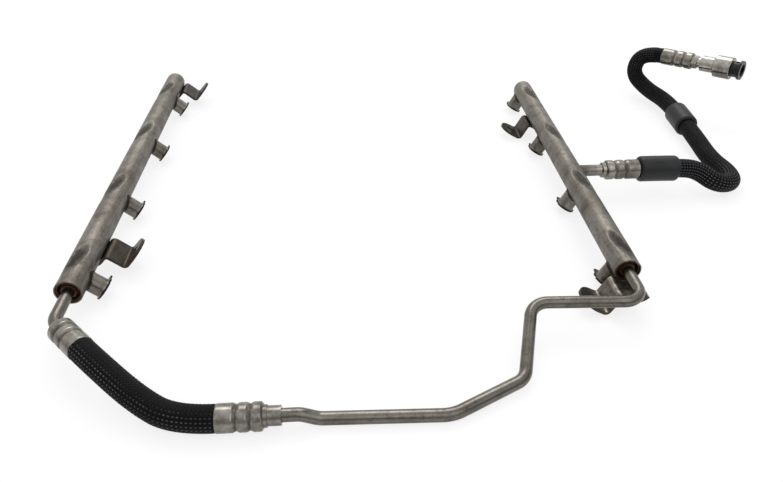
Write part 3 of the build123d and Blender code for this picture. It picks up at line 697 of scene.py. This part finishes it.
def braided_tube(name, line, hose, wear, glinting_side, bare=0.0):
    """A braided sleeve along a line: the radius is less between the strands.

    The height is the sine of the place across the strand on top, which changes from one family of
    strands to the other as on a chessboard. A bare stretch at the far end is smooth. Glint and wear
    tell how much the strands show painted glints and wear, as distances and amounts; the painted
    glints are least away from the glinting side.
    """
    length = travelled(line)[-1]
    strand_columns, lay_rows, weave_fades_over = 6, 5, 0.0006
    columns = hose.strands * strand_columns
    distance = np.linspace(0, length, int(length / hose.lay * lay_rows) + 1)
    turns = np.arange(columns) / columns * hose.strands
    across = turns[None] + distance[:, None] / hose.lay
    against = turns[None] - distance[:, None] / hose.lay
    odd = (np.floor(across) + np.floor(against)) % 2
    height = np.sin(pi * np.where(odd > 0, against % 1, across % 1))
    weave = np.clip((length - bare - distance) / weave_fades_over, 0, 1)[:, None]
    points = carried(line, distance, hose.radius - hose.relief * (1 - height * weave))
    outwards = (points - points.mean(1, keepdims=True)) / hose.radius
    level, swing, least, most = 0.75, 1.3, 0.55, 1.08
    # The painted glints are strongest on the side turned to the glinting side
    turned_to = np.clip(level + swing * (outwards @ np.array(glinting_side)), least, most)
    worn_and_glinting = np.interp(distance, *wear)[:, None] * turned_to
    return surface(name, points, distance, caps=(True, True),
                   values={"weave": weave, "wear": worn_and_glinting}, sharp=180)


class FUELRAIL_OT_tubes(bpy.types.Operator):
    """Make the two dented rail tubes and the plugs in their open ends"""

    bl_idname = "fuelrail.tubes"
    bl_label = "Rail Tubes"

    def execute(self, context):
        paints = context.scene.fuel_rail_paints
        steel, rusty = rail_steel(paints), plug_steel(paints)
        for name in RAILS:
            rail = Rail(name)
            finish(self.tube(rail), "rail_steel", steel, name + "_rail_tube")
            finish(self.plug(rail), "plug_steel", rusty, name + "_front_plug")
        return {"FINISHED"}

    def tube(self, rail):
        """Rows run from inside the open end over its edge, along the outside and over the dome.

        The dome is a quarter circle of the dome's depth, round a flat middle.
        """
        sizes = rail.sizes
        edge, bore = sizes.edge, rail.radius - sizes.wall
        seen_depth, smallest = 0.012, 0.0005
        inside_rows, outside_rows, dome_rows = 9, 440, 14
        inside = np.linspace(seen_depth, edge, inside_rows)
        outside = np.append([edge], np.linspace(MM, rail.length - sizes.dome, outside_rows))
        bend = np.linspace(0, pi / 2, dome_rows)[1:]
        dome = rail.length - sizes.dome * (1 - np.sin(bend))
        along = np.concatenate([inside, [0, 0], outside, dome])
        plain = np.concatenate([
            np.full(len(inside), bore), [bore + edge, rail.radius - edge],
            np.full(len(outside), rail.radius), rail.radius - sizes.dome * (1 - np.cos(bend))])
        turns = round_turns(120)
        dented, shade = rail.dented(turns, along, np.full(len(along), rail.radius))
        radius = np.maximum(plain[:, None] - rail.radius + dented, smallest)
        # Rust is heavy inside the end and thin on the four rows round its edge
        rusty = np.zeros((len(along), 1))
        rusty[:len(inside)] = 1.2
        rusty[len(inside):len(inside) + 4] = 0.45
        reach = travelled(np.stack([along, plain], -1))
        # The dent values are painted shade, darkest on the dents' rear walls
        return surface(rail.name + "_dented_tube", rail.points(turns, along, radius), reach,
                       caps=(True, True), values={"dent": shade, "end": rusty})

    def plug(self, rail):
        """A pressed plug: a skirt against the tube's bore, a stepped web and a collar at the pipe.

        The corners are (distance from the open end, radius) in millimetres.
        """
        bore = (rail.radius - rail.sizes.wall) / MM
        pipe = bpy.context.scene.fuel_rail_hoses.pipe / MM
        inner_skirt = [(8.2, bore), (8.2, 6.9)]
        web = [(5.6, 6.6), (5.2, 6.2), (5.2, 6.0), (5.2, pipe)]
        collar = [(1.2, pipe), (1.2, 5.9), (1.5, 6.05), (3.4, 6.05)]
        step = [(3.9, 6.5), (4.2, 7.3), (4.6, 7.7), (6.3, 7.8), (6.9, 8.1)]
        outer_skirt = [(6.9, 8.5), (6.2, 8.6), (1.5, 8.6), (1.2, 8.9), (1.2, bore - 0.2), (1.4, bore)]
        along, plain = np.array(inner_skirt + web + collar + step + outer_skirt).T * MM
        turns = round_turns(112)
        dented = rail.dented(turns, along, np.full(len(along), rail.radius))[0]
        radius = np.minimum(plain[:, None], dented - rail.sizes.wall)
        reach = travelled(np.stack([along, plain], -1))
        return surface(rail.name + "_pressed_plug", rail.points(turns, along, radius), reach,
                       closed=True)


def saddle_rows(tube_radius, radius, turns, legs):
    """Radii and heights of a braze fillet from a tube up the wall of a piece that stands on it.

    The tube lies at height sqrt(R^2 - (r sin t)^2). The fillet is a hollow quarter circle whose
    legs change slowly round the joint, and it is sunk a little into the tube.
    """
    rows, sunk = 8, 0.0001
    bend = np.linspace(0, pi / 2, rows)[:, None]
    ring = radius + legs[None] * (1 - np.sin(bend))
    ground = np.sqrt(np.maximum(tube_radius ** 2 - (ring * np.sin(turns)) ** 2, 0))
    return ring, ground + legs[None] * (1 - np.cos(bend)) - sunk


def standing(name, base, out, turns, ring, height, values):
    """A closed piece that stands on a rail: grids of radii and heights about an outward axis.

    The columns' angles are counted from the rail's own direction.
    """
    tube = np.array([0.0, 1.0, 0.0])
    around = tube * np.cos(turns)[:, None] + np.cross(out, tube) * np.sin(turns)[:, None]
    points = base + out * height[:, :, None] + around[None] * ring[:, :, None]
    along = travelled(np.stack([ring[:, 0], height[:, 0]], -1))
    return surface(name, points, along, closed=True, values=values)


class FUELRAIL_OT_cups(bpy.types.Operator):
    """Make the eight deep-drawn injector cups with their braze fillets and lips"""

    bl_idname = "fuelrail.cups"
    bl_label = "Injector Cups"

    def execute(self, context):
        steel = cup_steel(context.scene.fuel_rail_paints)
        for name in RAILS:
            rail = Rail(name)
            for number in CUPS:
                cup = self.cup(rail, number)
                finish(cup, "cup_steel", steel, f"{name}_injector_cup_{number}")
        return {"FINISHED"}

    def lip_outline(self, sizes, turns):
        """Radius of the lip: a circle joined with an ear to the rear, less two clip notches.

        The ear is a rounded rectangle as a superellipse of power 10. A notch is cut on each side
        where the place along the tube is within its half width of the cup's axis.
        """
        circle = sizes.cup_bore + sizes.cup_wall + sizes.cup_lip
        forward = np.maximum(np.cos(turns), 1e-6) / sizes.cup_ear
        aside = np.abs(np.sin(turns)) / sizes.cup_ear_half
        ear = np.where(np.cos(turns) > 0, (forward ** 10 + aside ** 10) ** -0.1, 0)
        half_width, slope, depth = 0.0019, 0.0006, 0.0011
        notch = np.clip((half_width - np.abs(circle * np.cos(turns))) / slope, 0, 1)
        return np.maximum(circle, ear) - depth * notch

    def cup(self, rail, number):
        """Rows run from the fillet's foot up the wall, over the lip, down the bore and feed hole."""
        sizes = rail.sizes
        spot, out = mount(f"{rail.name}_injector_bore_{number}")
        base = np.array([rail.start[0], spot[1], rail.start[2]])
        turns = round_turns(120)
        one = np.ones_like(turns)
        bore, outer = sizes.cup_bore, sizes.cup_bore + sizes.cup_wall
        reach, under = sizes.cup_reach, sizes.cup_reach - sizes.cup_lip_thickness
        uneven = 0.16 * np.sin(3 * turns + number) + 0.1 * np.sin(7 * turns + 2 * number)
        rings, heights = saddle_rows(rail.radius, outer, turns, sizes.braze * (1 + uneven))
        lip = self.lip_outline(sizes, turns)
        floor, feed, seat_sunk = rail.radius + 0.002, 0.0025, 0.0002
        feed_foot = np.sqrt(rail.radius ** 2 - (feed * np.sin(turns)) ** 2)
        wall_foot = np.sqrt(rail.radius ** 2 - (outer * np.sin(turns)) ** 2)
        top, wall_end = heights[-1], under - 0.0008
        # Corners are (radius, height over the tube's axis), and the small steps break the edges
        wall = [(outer, top + (wall_end - top) * t) for t in np.linspace(0.04, 1, 11)]
        under_lip = [(outer + 0.00025, under - 0.00025), (outer + 0.0008, under)]
        edge = [(lip - 0.00015, under), (lip, under + 0.00015), (lip, reach - 0.00025),
                (lip - 0.00025, reach)]
        lead_in = [(bore + 0.0014, reach), (bore + 0.001, reach - 0.0003), (bore, reach - 0.002)]
        inside = [(bore, floor + 0.0006), (bore - 0.0006, floor), (feed, floor), (feed, feed_foot)]
        rest = wall + under_lip + edge + lead_in + inside + [(outer, wall_foot - seat_sunk)]
        ring = np.concatenate([rings, [r * one for r, _ in rest]])
        height = np.concatenate([heights, [h * one for _, h in rest]])
        fillet, mouth = len(rings), len(rings) + len(wall)
        braze = np.zeros(len(ring))
        braze[:fillet] = 1.0
        braze[fillet:fillet + 2] = (0.7, 0.2)
        # The floor, the feed hole and the seat are dark too
        braze[-4:] = 1.0
        # Painted shade under the lip and round its rim
        lip_shade = np.zeros(len(ring))
        lip_shade[mouth + 1:mouth + 6] = (0.4, 0.9, 1.0, 1.0, 0.6)
        return standing(f"{rail.name}_drawn_cup_{number}", base, out, turns, ring, height,
                        {"braze": braze[:, None], "lip": lip_shade[:, None]})


def crimped_profile(length, sizes):
    """Profile of a crimped ferrule in millimetres, and how deep in a groove each row is.

    The radius is the outer one less a raised cosine at each of the two rolled grooves, closed by
    the bore and the flange behind it.
    """
    rows, half_groove = 84, 0.085 * length
    distance = np.linspace(0.0, length, rows)
    flange_width, flange_drop, mouth_width, mouth_drop = 1.6, 1.4, 0.7, 0.5
    grooves = (0.43 * length, 0.73 * length)
    dip = sum(0.5 + 0.5 * np.cos(pi * np.clip((distance - middle) / half_groove, -1, 1))
              for middle in grooves)
    flange = np.clip((distance - (length - flange_width)) / flange_width, 0, 1)
    mouth = np.clip((mouth_width - distance) / mouth_width, 0, 1)
    outer = sizes.ferrule / MM - sizes.crimp / MM * dip
    radius = outer - flange_drop * flange ** 2 - mouth_drop * mouth ** 2
    bore, neck, flange_length, lead_in = 8.45, sizes.neck / MM + 0.02, 3.0, 0.3
    inner = [(length, neck), (length - flange_length, neck), (length - flange_length, bore),
             (lead_in, bore), (0.0, bore + lead_in)]
    return np.concatenate([np.stack([distance, radius], -1), inner]), dip


def ferrule(name, mouth, direction, length, sizes):
    """A crimped ferrule, with eight faint jaw marks in each groove."""
    profile, dip = crimped_profile(length, sizes)
    jaws, jaw_depth = 8, 0.00016
    inner = [0.0, 0.0, 0.0, 0.0]
    jaw = 0.5 + 0.5 * np.cos(jaws * round_turns(112))
    marks = -jaw_depth * np.concatenate([dip, [0.0], inner])[:, None] * jaw[None]
    # Painted shade in the rolled grooves, and a little at the back end
    groove = np.concatenate([dip, [0.6], inner])[:, None]
    return turned(name, mouth, direction, profile, marks, {"groove": groove})


class FUELRAIL_OT_fittings(bpy.types.Operator):
    """Make the crimped ferrules, the inlet stem and the finish of the nipple"""

    bl_idname = "fuelrail.fittings"
    bl_label = "Fittings"

    def execute(self, context):
        sizes = context.scene.fuel_rail_hoses
        steel = fitting_steel(context.scene.fuel_rail_paints)
        left, after_left = np.array(CROSSOVER_ROUTE[:2])
        before_end, end = np.array(HOSE_ROUTE[-2:])
        slope, away = unit(after_left - left), unit(end - before_end)
        places = [
            ("left_crimped_ferrule", left, -slope, 31.0, "left_hose_ferrule"),
            ("crossover_crimped_ferrule", CROSSOVER_ROUTE[-1], (1, 0, 0), 31.0, "crossover_ferrule"),
            ("inlet_crimped_ferrule", HOSE_ROUTE[0], (-1, 0, 0), 34.0, "inlet_ferrule"),
            ("end_crimped_ferrule", end, away, 38.0, "end_ferrule"),
        ]
        for name, mouth, direction, length, cad in places:
            finish(ferrule(name, mouth, direction, length, sizes), "fitting_steel", steel, cad)
        finish(self.stem(sizes), "fitting_steel", steel, "inlet_stem")
        dress("crossover_nipple", steel)
        return {"FINISHED"}

    def stem(self, sizes):
        """The inlet stem: a braze fillet on the tube, a plain shank, a ring and a hose tail.

        The corners are (radius, distance from the tube's axis). The bore runs back through them.
        """
        rail = Rail("right")
        turns = round_turns(96)
        leg = 0.0013
        legs = leg * (1 + 0.2 * np.sin(2 * turns) + 0.1 * np.sin(5 * turns))
        rings, heights = saddle_rows(rail.radius, sizes.shank, turns, legs)
        foot, bore_end = 0.0100, 0.0104
        ring_start, ring_end, neck_end, tail_end = 0.0318, 0.0363, 0.0393, 0.0688
        corners = np.array([
            (sizes.shank, ring_start), (sizes.bead - 0.0004, ring_start + 0.0004),
            (sizes.bead, ring_start + 0.0008), (sizes.bead, ring_end - 0.0004),
            (sizes.bead - 0.0004, ring_end), (sizes.neck, ring_end), (sizes.neck, neck_end),
            (sizes.pipe, neck_end), (sizes.pipe, tail_end), (sizes.stem_bore, tail_end),
            (sizes.stem_bore, bore_end), (sizes.shank, foot)])
        ring = np.concatenate([rings, np.repeat(corners[:, :1], len(turns), 1)])
        height = np.concatenate([heights, np.repeat(corners[:, 1:], len(turns), 1)])
        base = np.array([rail.start[0], HOSE_ROUTE[0][1], rail.start[2]])
        out = np.array([1.0, 0.0, 0.0])
        braze = np.zeros(len(ring))
        braze[:len(rings)] = 1.0
        return standing("brazed_inlet_stem", base, out, turns, ring, height,
                        {"groove": braze[:, None]})


class FUELRAIL_OT_brackets(bpy.types.Operator):
    """Finish the four bent brackets"""

    bl_idname = "fuelrail.brackets"
    bl_label = "Brackets"

    def execute(self, context):
        steel = strip_steel(context.scene.fuel_rail_paints)
        for name in RAILS:
            for end in ("front", "rear"):
                dress(f"{name}_{end}_bracket", steel)
        return {"FINISHED"}


def bent_line(corners, bends):
    """Points of a bent pipe's centre line: straight runs joined by tangent arcs.

    An arc of radius r at a corner that turns by t starts r tan(t / 2) before the corner. Its points
    turn the arriving direction a into a cos(s) + n sin(s), n being square to it in the bend.
    """
    corners, arc_points = np.array(corners, float), 12
    line = [corners[:1]]
    for before, corner, after, radius in zip(corners, corners[1:], corners[2:], bends):
        arrive, leave = unit(corner - before), unit(after - corner)
        turn = np.arccos(np.clip(arrive @ leave, -1, 1))
        inward = unit(leave - arrive * (arrive @ leave))
        steps = np.linspace(0, turn, arc_points)[:, None]
        start = corner - arrive * radius * np.tan(turn / 2)
        line.append(start + radius * (arrive * np.sin(steps) + inward * (1 - np.cos(steps))))
    line.append(corners[-1:])
    return np.concatenate(line)


def evenly(line, step):
    """Distances along a line at about the given step, its own points among them."""
    reach = travelled(line)
    return np.unique(np.concatenate([reach, np.arange(0, reach[-1], step)]))


class FUELRAIL_OT_pipes(bpy.types.Operator):
    """Make the two bent steel pipes, with the ring that stops the left ferrule"""

    bl_idname = "fuelrail.pipes"
    bl_label = "Pipes"

    def execute(self, context):
        steel = pipe_steel(context.scene.fuel_rail_paints)
        sizes = context.scene.fuel_rail_hoses
        left, right = Rail("left").start, Rail("right").start
        ahead, inside = np.array([0, -1.0, 0]), np.array([0, PLUGGED_RUN, 0])
        mouth, after_mouth = np.array(CROSSOVER_ROUTE[:2])
        tail_gap, ring_from_end = 0.0015, 0.0308
        tail = mouth - unit(after_mouth - mouth) * tail_gap
        corners = [left + inside, left + ahead * LEFT_RUN, tail]
        line = bent_line(corners, PIPE_BENDS[:1])
        pipe = self.pipe("left_bent_pipe", line, sizes, ring_from_end)
        finish(pipe, "pipe_steel", steel, "left_feed_pipe")
        line = bent_line([right + inside, right + ahead * RIGHT_RUN, *PIPE_CORNERS], PIPE_BENDS)
        finish(self.pipe("crossover_bent_pipe", line, sizes), "pipe_steel", steel, "crossover_pipe")
        return {"FINISHED"}

    def pipe(self, name, line, sizes, ring=None):
        """A pipe with its bore; the ring's distance is from the far end.

        The swelling before the ferrule is a smooth step up to the neck and a rounded ring.
        """
        row_step, swelling_rows, columns = 0.002, 25, 48
        distance = evenly(line, row_step)
        radius = np.full(len(distance), sizes.pipe)
        if ring:
            neck_before, neck_rise, neck_after, ring_half = 0.0030, 0.0012, 0.0032, 0.0013
            middle = distance[-1] - ring
            extra = middle + np.linspace(-0.004, 0.004, swelling_rows)
            distance = np.unique(np.concatenate([distance, extra]))
            place = distance - middle
            neck = np.clip((place + neck_before) / neck_rise, 0, 1) * (place < neck_after)
            bulge = np.sqrt(np.clip(1 - (place / ring_half) ** 2, 0, 1))
            radius = sizes.pipe + (sizes.neck - sizes.pipe) * neck + (sizes.bead - sizes.neck) * bulge
        inner = np.full(len(distance), sizes.pipe - sizes.pipe_wall)
        both = np.concatenate([distance, distance[::-1]])
        grid = np.repeat(np.concatenate([radius, inner])[:, None], columns, 1)
        along = np.append(0, np.cumsum(np.abs(np.diff(both))))
        return surface(name, carried(line, both, grid), along, closed=True)


class FUELRAIL_OT_hoses(bpy.types.Operator):
    """Make the braided crossover hose and the free braided inlet hose"""

    bl_idname = "fuelrail.hoses"
    bl_label = "Braided Hoses"

    def execute(self, context):
        sizes = context.scene.fuel_rail_hoses
        cloth = braid_material(context.scene.fuel_rail_paints, sizes)
        # Glint and wear is (distances along the hose in metres, amounts) for the painted glints and wear
        line = spline_line("crossover_line", CROSSOVER_ROUTE)
        wear = ([0, 0.05, 0.12], [1.2, 1.1, 1.05])
        # The last tuple is the side on which the painted glints are strongest
        crossover = braided_tube("crossover_braided_hose", line, sizes, wear, (0.1, -0.9, -0.25))
        finish(crossover, "hose_braid", cloth, "crossover_braid", "crossover_hose")
        line = spline_line("inlet_line", HOSE_ROUTE)
        wear = ([0, 0.04, 0.11, 0.16, 0.31, 0.35, 0.43], [1.25, 1.45, 1.4, 0.8, 0.7, 1.05, 1.05])
        inlet = braided_tube("inlet_braided_hose", line, sizes, wear, (0.2, -0.5, 0.8), sizes.bare)
        finish(inlet, "hose_braid", cloth, "inlet_hose")
        sleeves = ("hose_bumper_sleeve_1", "hose_bumper_sleeve_2", "end_crimped_ferrule")
        rides = [bpy.data.objects[name] for name in sleeves]
        rides += [frame["nodes"]["connector_" + part] for part in (
            "stem", "body", "seal_1", "spacer", "seal_2", "bush", "retainer")]
        return {"FINISHED"}


class FUELRAIL_OT_bumpers(bpy.types.Operator):
    """Make the two moulded rubber bumpers on the inlet hose"""

    bl_idname = "fuelrail.bumpers"
    bl_label = "Rubber Bumpers"

    def execute(self, context):
        sizes = context.scene.fuel_rail_hoses
        paints = context.scene.fuel_rail_paints
        rubber = plain_material("moulded_rubber", paints.rubber, linear("191b1e"), 0.0006, 0.46)
        line = spline_line("bumper_line", HOSE_ROUTE)
        reach = travelled(line)
        first, clearance, past_first_bends = 0.0005, 0.0001, reach > 0.15
        low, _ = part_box("hose_bumper_2")
        second = float(np.interp(low.y + clearance, line[past_first_bends, 1], reach[past_first_bends]))
        for number, start in ((1, first), (2, second)):
            sleeve = self.sleeve(f"hose_bumper_sleeve_{number}", line, start, sizes)
            finish(sleeve, "bumper_rubber", rubber, f"hose_bumper_{number}")
        return {"FINISHED"}

    def sleeve(self, name, line, start, sizes):
        """A sleeve whose outer edges are quarter circles and whose bore has a lead-in."""
        edge, length = sizes.bumper_edge, sizes.bumper_length
        edge_rows, middle_rows, columns = 9, 14, 96
        bend = np.linspace(0, pi / 2, edge_rows)
        edge_reach, edge_radius = edge * (1 - np.cos(bend)), sizes.bumper - edge * (1 - np.sin(bend))
        middle = np.linspace(edge, length - edge, middle_rows)[1:-1]
        clearance, lead_in, lead_length = 0.00015, 0.0004, 0.001
        bore = sizes.radius + clearance
        distance = np.concatenate([edge_reach, middle, length - edge_reach[::-1],
                                   [length, length - lead_length, lead_length, 0]])
        radius = np.concatenate([edge_radius, np.full(len(middle), sizes.bumper), edge_radius[::-1],
                                 [bore + lead_in, bore, bore, bore + lead_in]])
        along = travelled(np.stack([distance, radius], -1))
        grid = np.repeat(radius[:, None], columns, 1)
        return surface(name, carried(line, start + distance, grid), along, closed=True)


class FUELRAIL_OT_connector(bpy.types.Operator):
    """Finish the quick connector"""

    bl_idname = "fuelrail.connector"
    bl_label = "Quick Connector"

    def execute(self, context):
        paints = context.scene.fuel_rail_paints
        steel = turned_steel()
        nylon = plain_material("moulded_nylon", paints.nylon, linear("131315"), 0.0005, 0.34)
        rubber = plain_material("seal_rubber", linear("1a1a1b"), linear("222224"), 0.0005, 0.5)
        for name, material in (("connector_stem", steel), ("connector_body", steel),
                               ("connector_seal_1", rubber), ("connector_seal_2", rubber),
                               ("connector_spacer", nylon), ("connector_bush", nylon),
                               ("connector_retainer", nylon)):
            dress(name, material)
        return {"FINISHED"}


def seen_directly(tree):
    """One for rays that show a thing to the camera, in a reflection or through glass."""
    rays = node(tree, "ShaderNodeLightPath").outputs
    seen = node(tree, "ShaderNodeMath", {0: rays["Is Camera Ray"], 1: rays["Is Glossy Ray"]},
                operation="MAXIMUM")
    return node(tree, "ShaderNodeMath", {0: seen, 1: rays["Is Transmission Ray"]}, operation="MAXIMUM")


class FUELRAIL_OT_stage(bpy.types.Operator):
    """Set up the pale floor, the soft light and the camera"""

    bl_idname = "fuelrail.stage"
    bl_label = "Studio"

    def execute(self, context):
        self.floor(context.scene.fuel_rail_paints)
        self.world(context.scene)
        self.lamps()
        self.camera(context.scene)
        context.scene.view_settings.view_transform = "Standard"
        return {"FINISHED"}

    def floor(self, paints):
        """A square of floor under the object, which shows its shadow at a fifth of its depth.

        To the camera and in reflections four fifths of the floor's colour are plain white.
        """
        half = 20.0
        mesh = bpy.data.meshes.new("floor")
        corners = [(-half, -half, 0), (half, -half, 0), (half, half, 0), (-half, half, 0)]
        mesh.from_pydata(corners, [], [(0, 1, 2, 3)])
        made, tree, _ = new_material("pale_studio_floor")
        tree.nodes.clear()
        lit = node(tree, "ShaderNodeBsdfDiffuse", {"Color": paints.floor})
        white = node(tree, "ShaderNodeEmission", {"Color": (1, 1, 1, 1), "Strength": 1.0})
        share = node(tree, "ShaderNodeMath", {0: seen_directly(tree), 1: 0.8}, operation="MULTIPLY")
        mixed = node(tree, "ShaderNodeMixShader", {0: share, 1: lit,
                                                   2: white})
        node(tree, "ShaderNodeOutputMaterial", {"Surface": mixed})
        mesh.materials.append(made)
        floor = bpy.data.objects.new("floor", mesh)
        bpy.context.scene.collection.objects.link(floor)

    def world(self, scene):
        """A bright ceiling and rear wall that fade to a dim room at the camera's side."""
        world = bpy.data.worlds.new("studio")
        scene.world = world
        world.use_nodes = True
        tree = world.node_tree
        tree.nodes.clear()
        direction = node(tree, "ShaderNodeTexCoord").outputs["Generated"]
        brightest = (-0.15, 0.5, 0.85)
        height = node(tree, "ShaderNodeVectorMath", {0: direction, 1: brightest},
                      operation="DOT_PRODUCT").outputs["Value"]
        level = node(tree, "ShaderNodeMapRange", {"Value": height, "From Min": 0.0, "From Max": 0.75,
                                                  "To Min": 0.48, "To Max": 1.0},
                     interpolation_type="SMOOTHSTEP")
        back = node(tree, "ShaderNodeBackground", {"Color": (1, 1, 1, 1), "Strength": level})
        node(tree, "ShaderNodeOutputWorld", {"Surface": back})

    def lamps(self):
        """A soft key light from above the rear left and a weak one from above the camera."""
        for name, place, power, spread in (("key", (0.05, 0.9, 1.1), 0.85, 34),
                                           ("fill", (0.5, -1.0, 1.2), 0.45, 50)):
            lamp = bpy.data.lights.new(name, "SUN")
            lamp.energy = power
            lamp.angle = spread * pi / 180
            holder = bpy.data.objects.new(name, lamp)
            holder.location = place
            holder.rotation_euler = Vector(place).to_track_quat("Z", "Y").to_euler()
            bpy.context.scene.collection.objects.link(holder)

    def camera(self, scene):
        """The photograph's viewing angle: 35 degrees down and 4 degrees to the right of +Y."""
        lens = bpy.data.cameras.new("photograph")
        sensor, focal_pixels, picture_width = 36.0, 663.5, 783
        lens.sensor_width = sensor
        lens.lens = sensor * focal_pixels / picture_width
        lens.clip_start, lens.clip_end = 0.01, 50
        camera = bpy.data.objects.new("photograph", lens)
        right, up, back = (0.9977, -0.0683, 0.0032), (0.0370, 0.5786, 0.8147), (-0.0575, -0.8127, 0.5798)
        camera.rotation_mode = "QUATERNION"
        camera.rotation_quaternion = Matrix((right, up, back)).transposed().to_quaternion()
        camera.location = (-0.0288, -0.5695, 0.3587)
        scene.collection.objects.link(camera)
        scene.camera = camera


class FUELRAIL_PT_panel(bpy.types.Panel):
    """The sidebar panel with the sizes, the colours and a button for each group of pieces"""

    bl_label = "Fuel Rail"
    bl_idname = "FUELRAIL_PT_panel"
    bl_space_type = "VIEW_3D"
    bl_region_type = "UI"
    bl_category = "Fuel Rail"

    def draw(self, context):
        scene = context.scene
        for group in (scene.fuel_rail_rails, scene.fuel_rail_hoses, scene.fuel_rail_paints):
            box = self.layout.box()
            for name in group.__annotations__:
                box.prop(group, name)
        for operator in OPERATORS:
            self.layout.operator(operator.bl_idname)


GROUPS = (RailSizes, HoseSizes, Finishes)
OPERATORS = (
    FUELRAIL_OT_stage,
    FUELRAIL_OT_tubes,
    FUELRAIL_OT_cups,
    FUELRAIL_OT_fittings,
    FUELRAIL_OT_brackets,
    FUELRAIL_OT_pipes,
    FUELRAIL_OT_bumpers,
    FUELRAIL_OT_hoses,
    FUELRAIL_OT_connector,
)


def register():
    """Register the classes and hang their values on the scene."""
    for kind in (*GROUPS, *OPERATORS, FUELRAIL_PT_panel):
        bpy.utils.register_class(kind)
    bpy.types.Scene.fuel_rail_rails = PointerProperty(type=RailSizes)
    bpy.types.Scene.fuel_rail_hoses = PointerProperty(type=HoseSizes)
    bpy.types.Scene.fuel_rail_paints = PointerProperty(type=Finishes)


def unregister():
    """Undo what register did."""
    del bpy.types.Scene.fuel_rail_rails
    del bpy.types.Scene.fuel_rail_hoses
    del bpy.types.Scene.fuel_rail_paints
    for kind in (FUELRAIL_PT_panel, *OPERATORS, *GROUPS):
        bpy.utils.unregister_class(kind)


def main():
    """Make the whole scene."""
    register()
    bpy.ops.fuelrail.stage()
    bpy.ops.fuelrail.tubes()
    bpy.ops.fuelrail.cups()
    bpy.ops.fuelrail.fittings()
    bpy.ops.fuelrail.brackets()
    bpy.ops.fuelrail.pipes()
    bpy.ops.fuelrail.bumpers()
    bpy.ops.fuelrail.hoses()
    bpy.ops.fuelrail.connector()


if __name__ == "__main__":
    main()
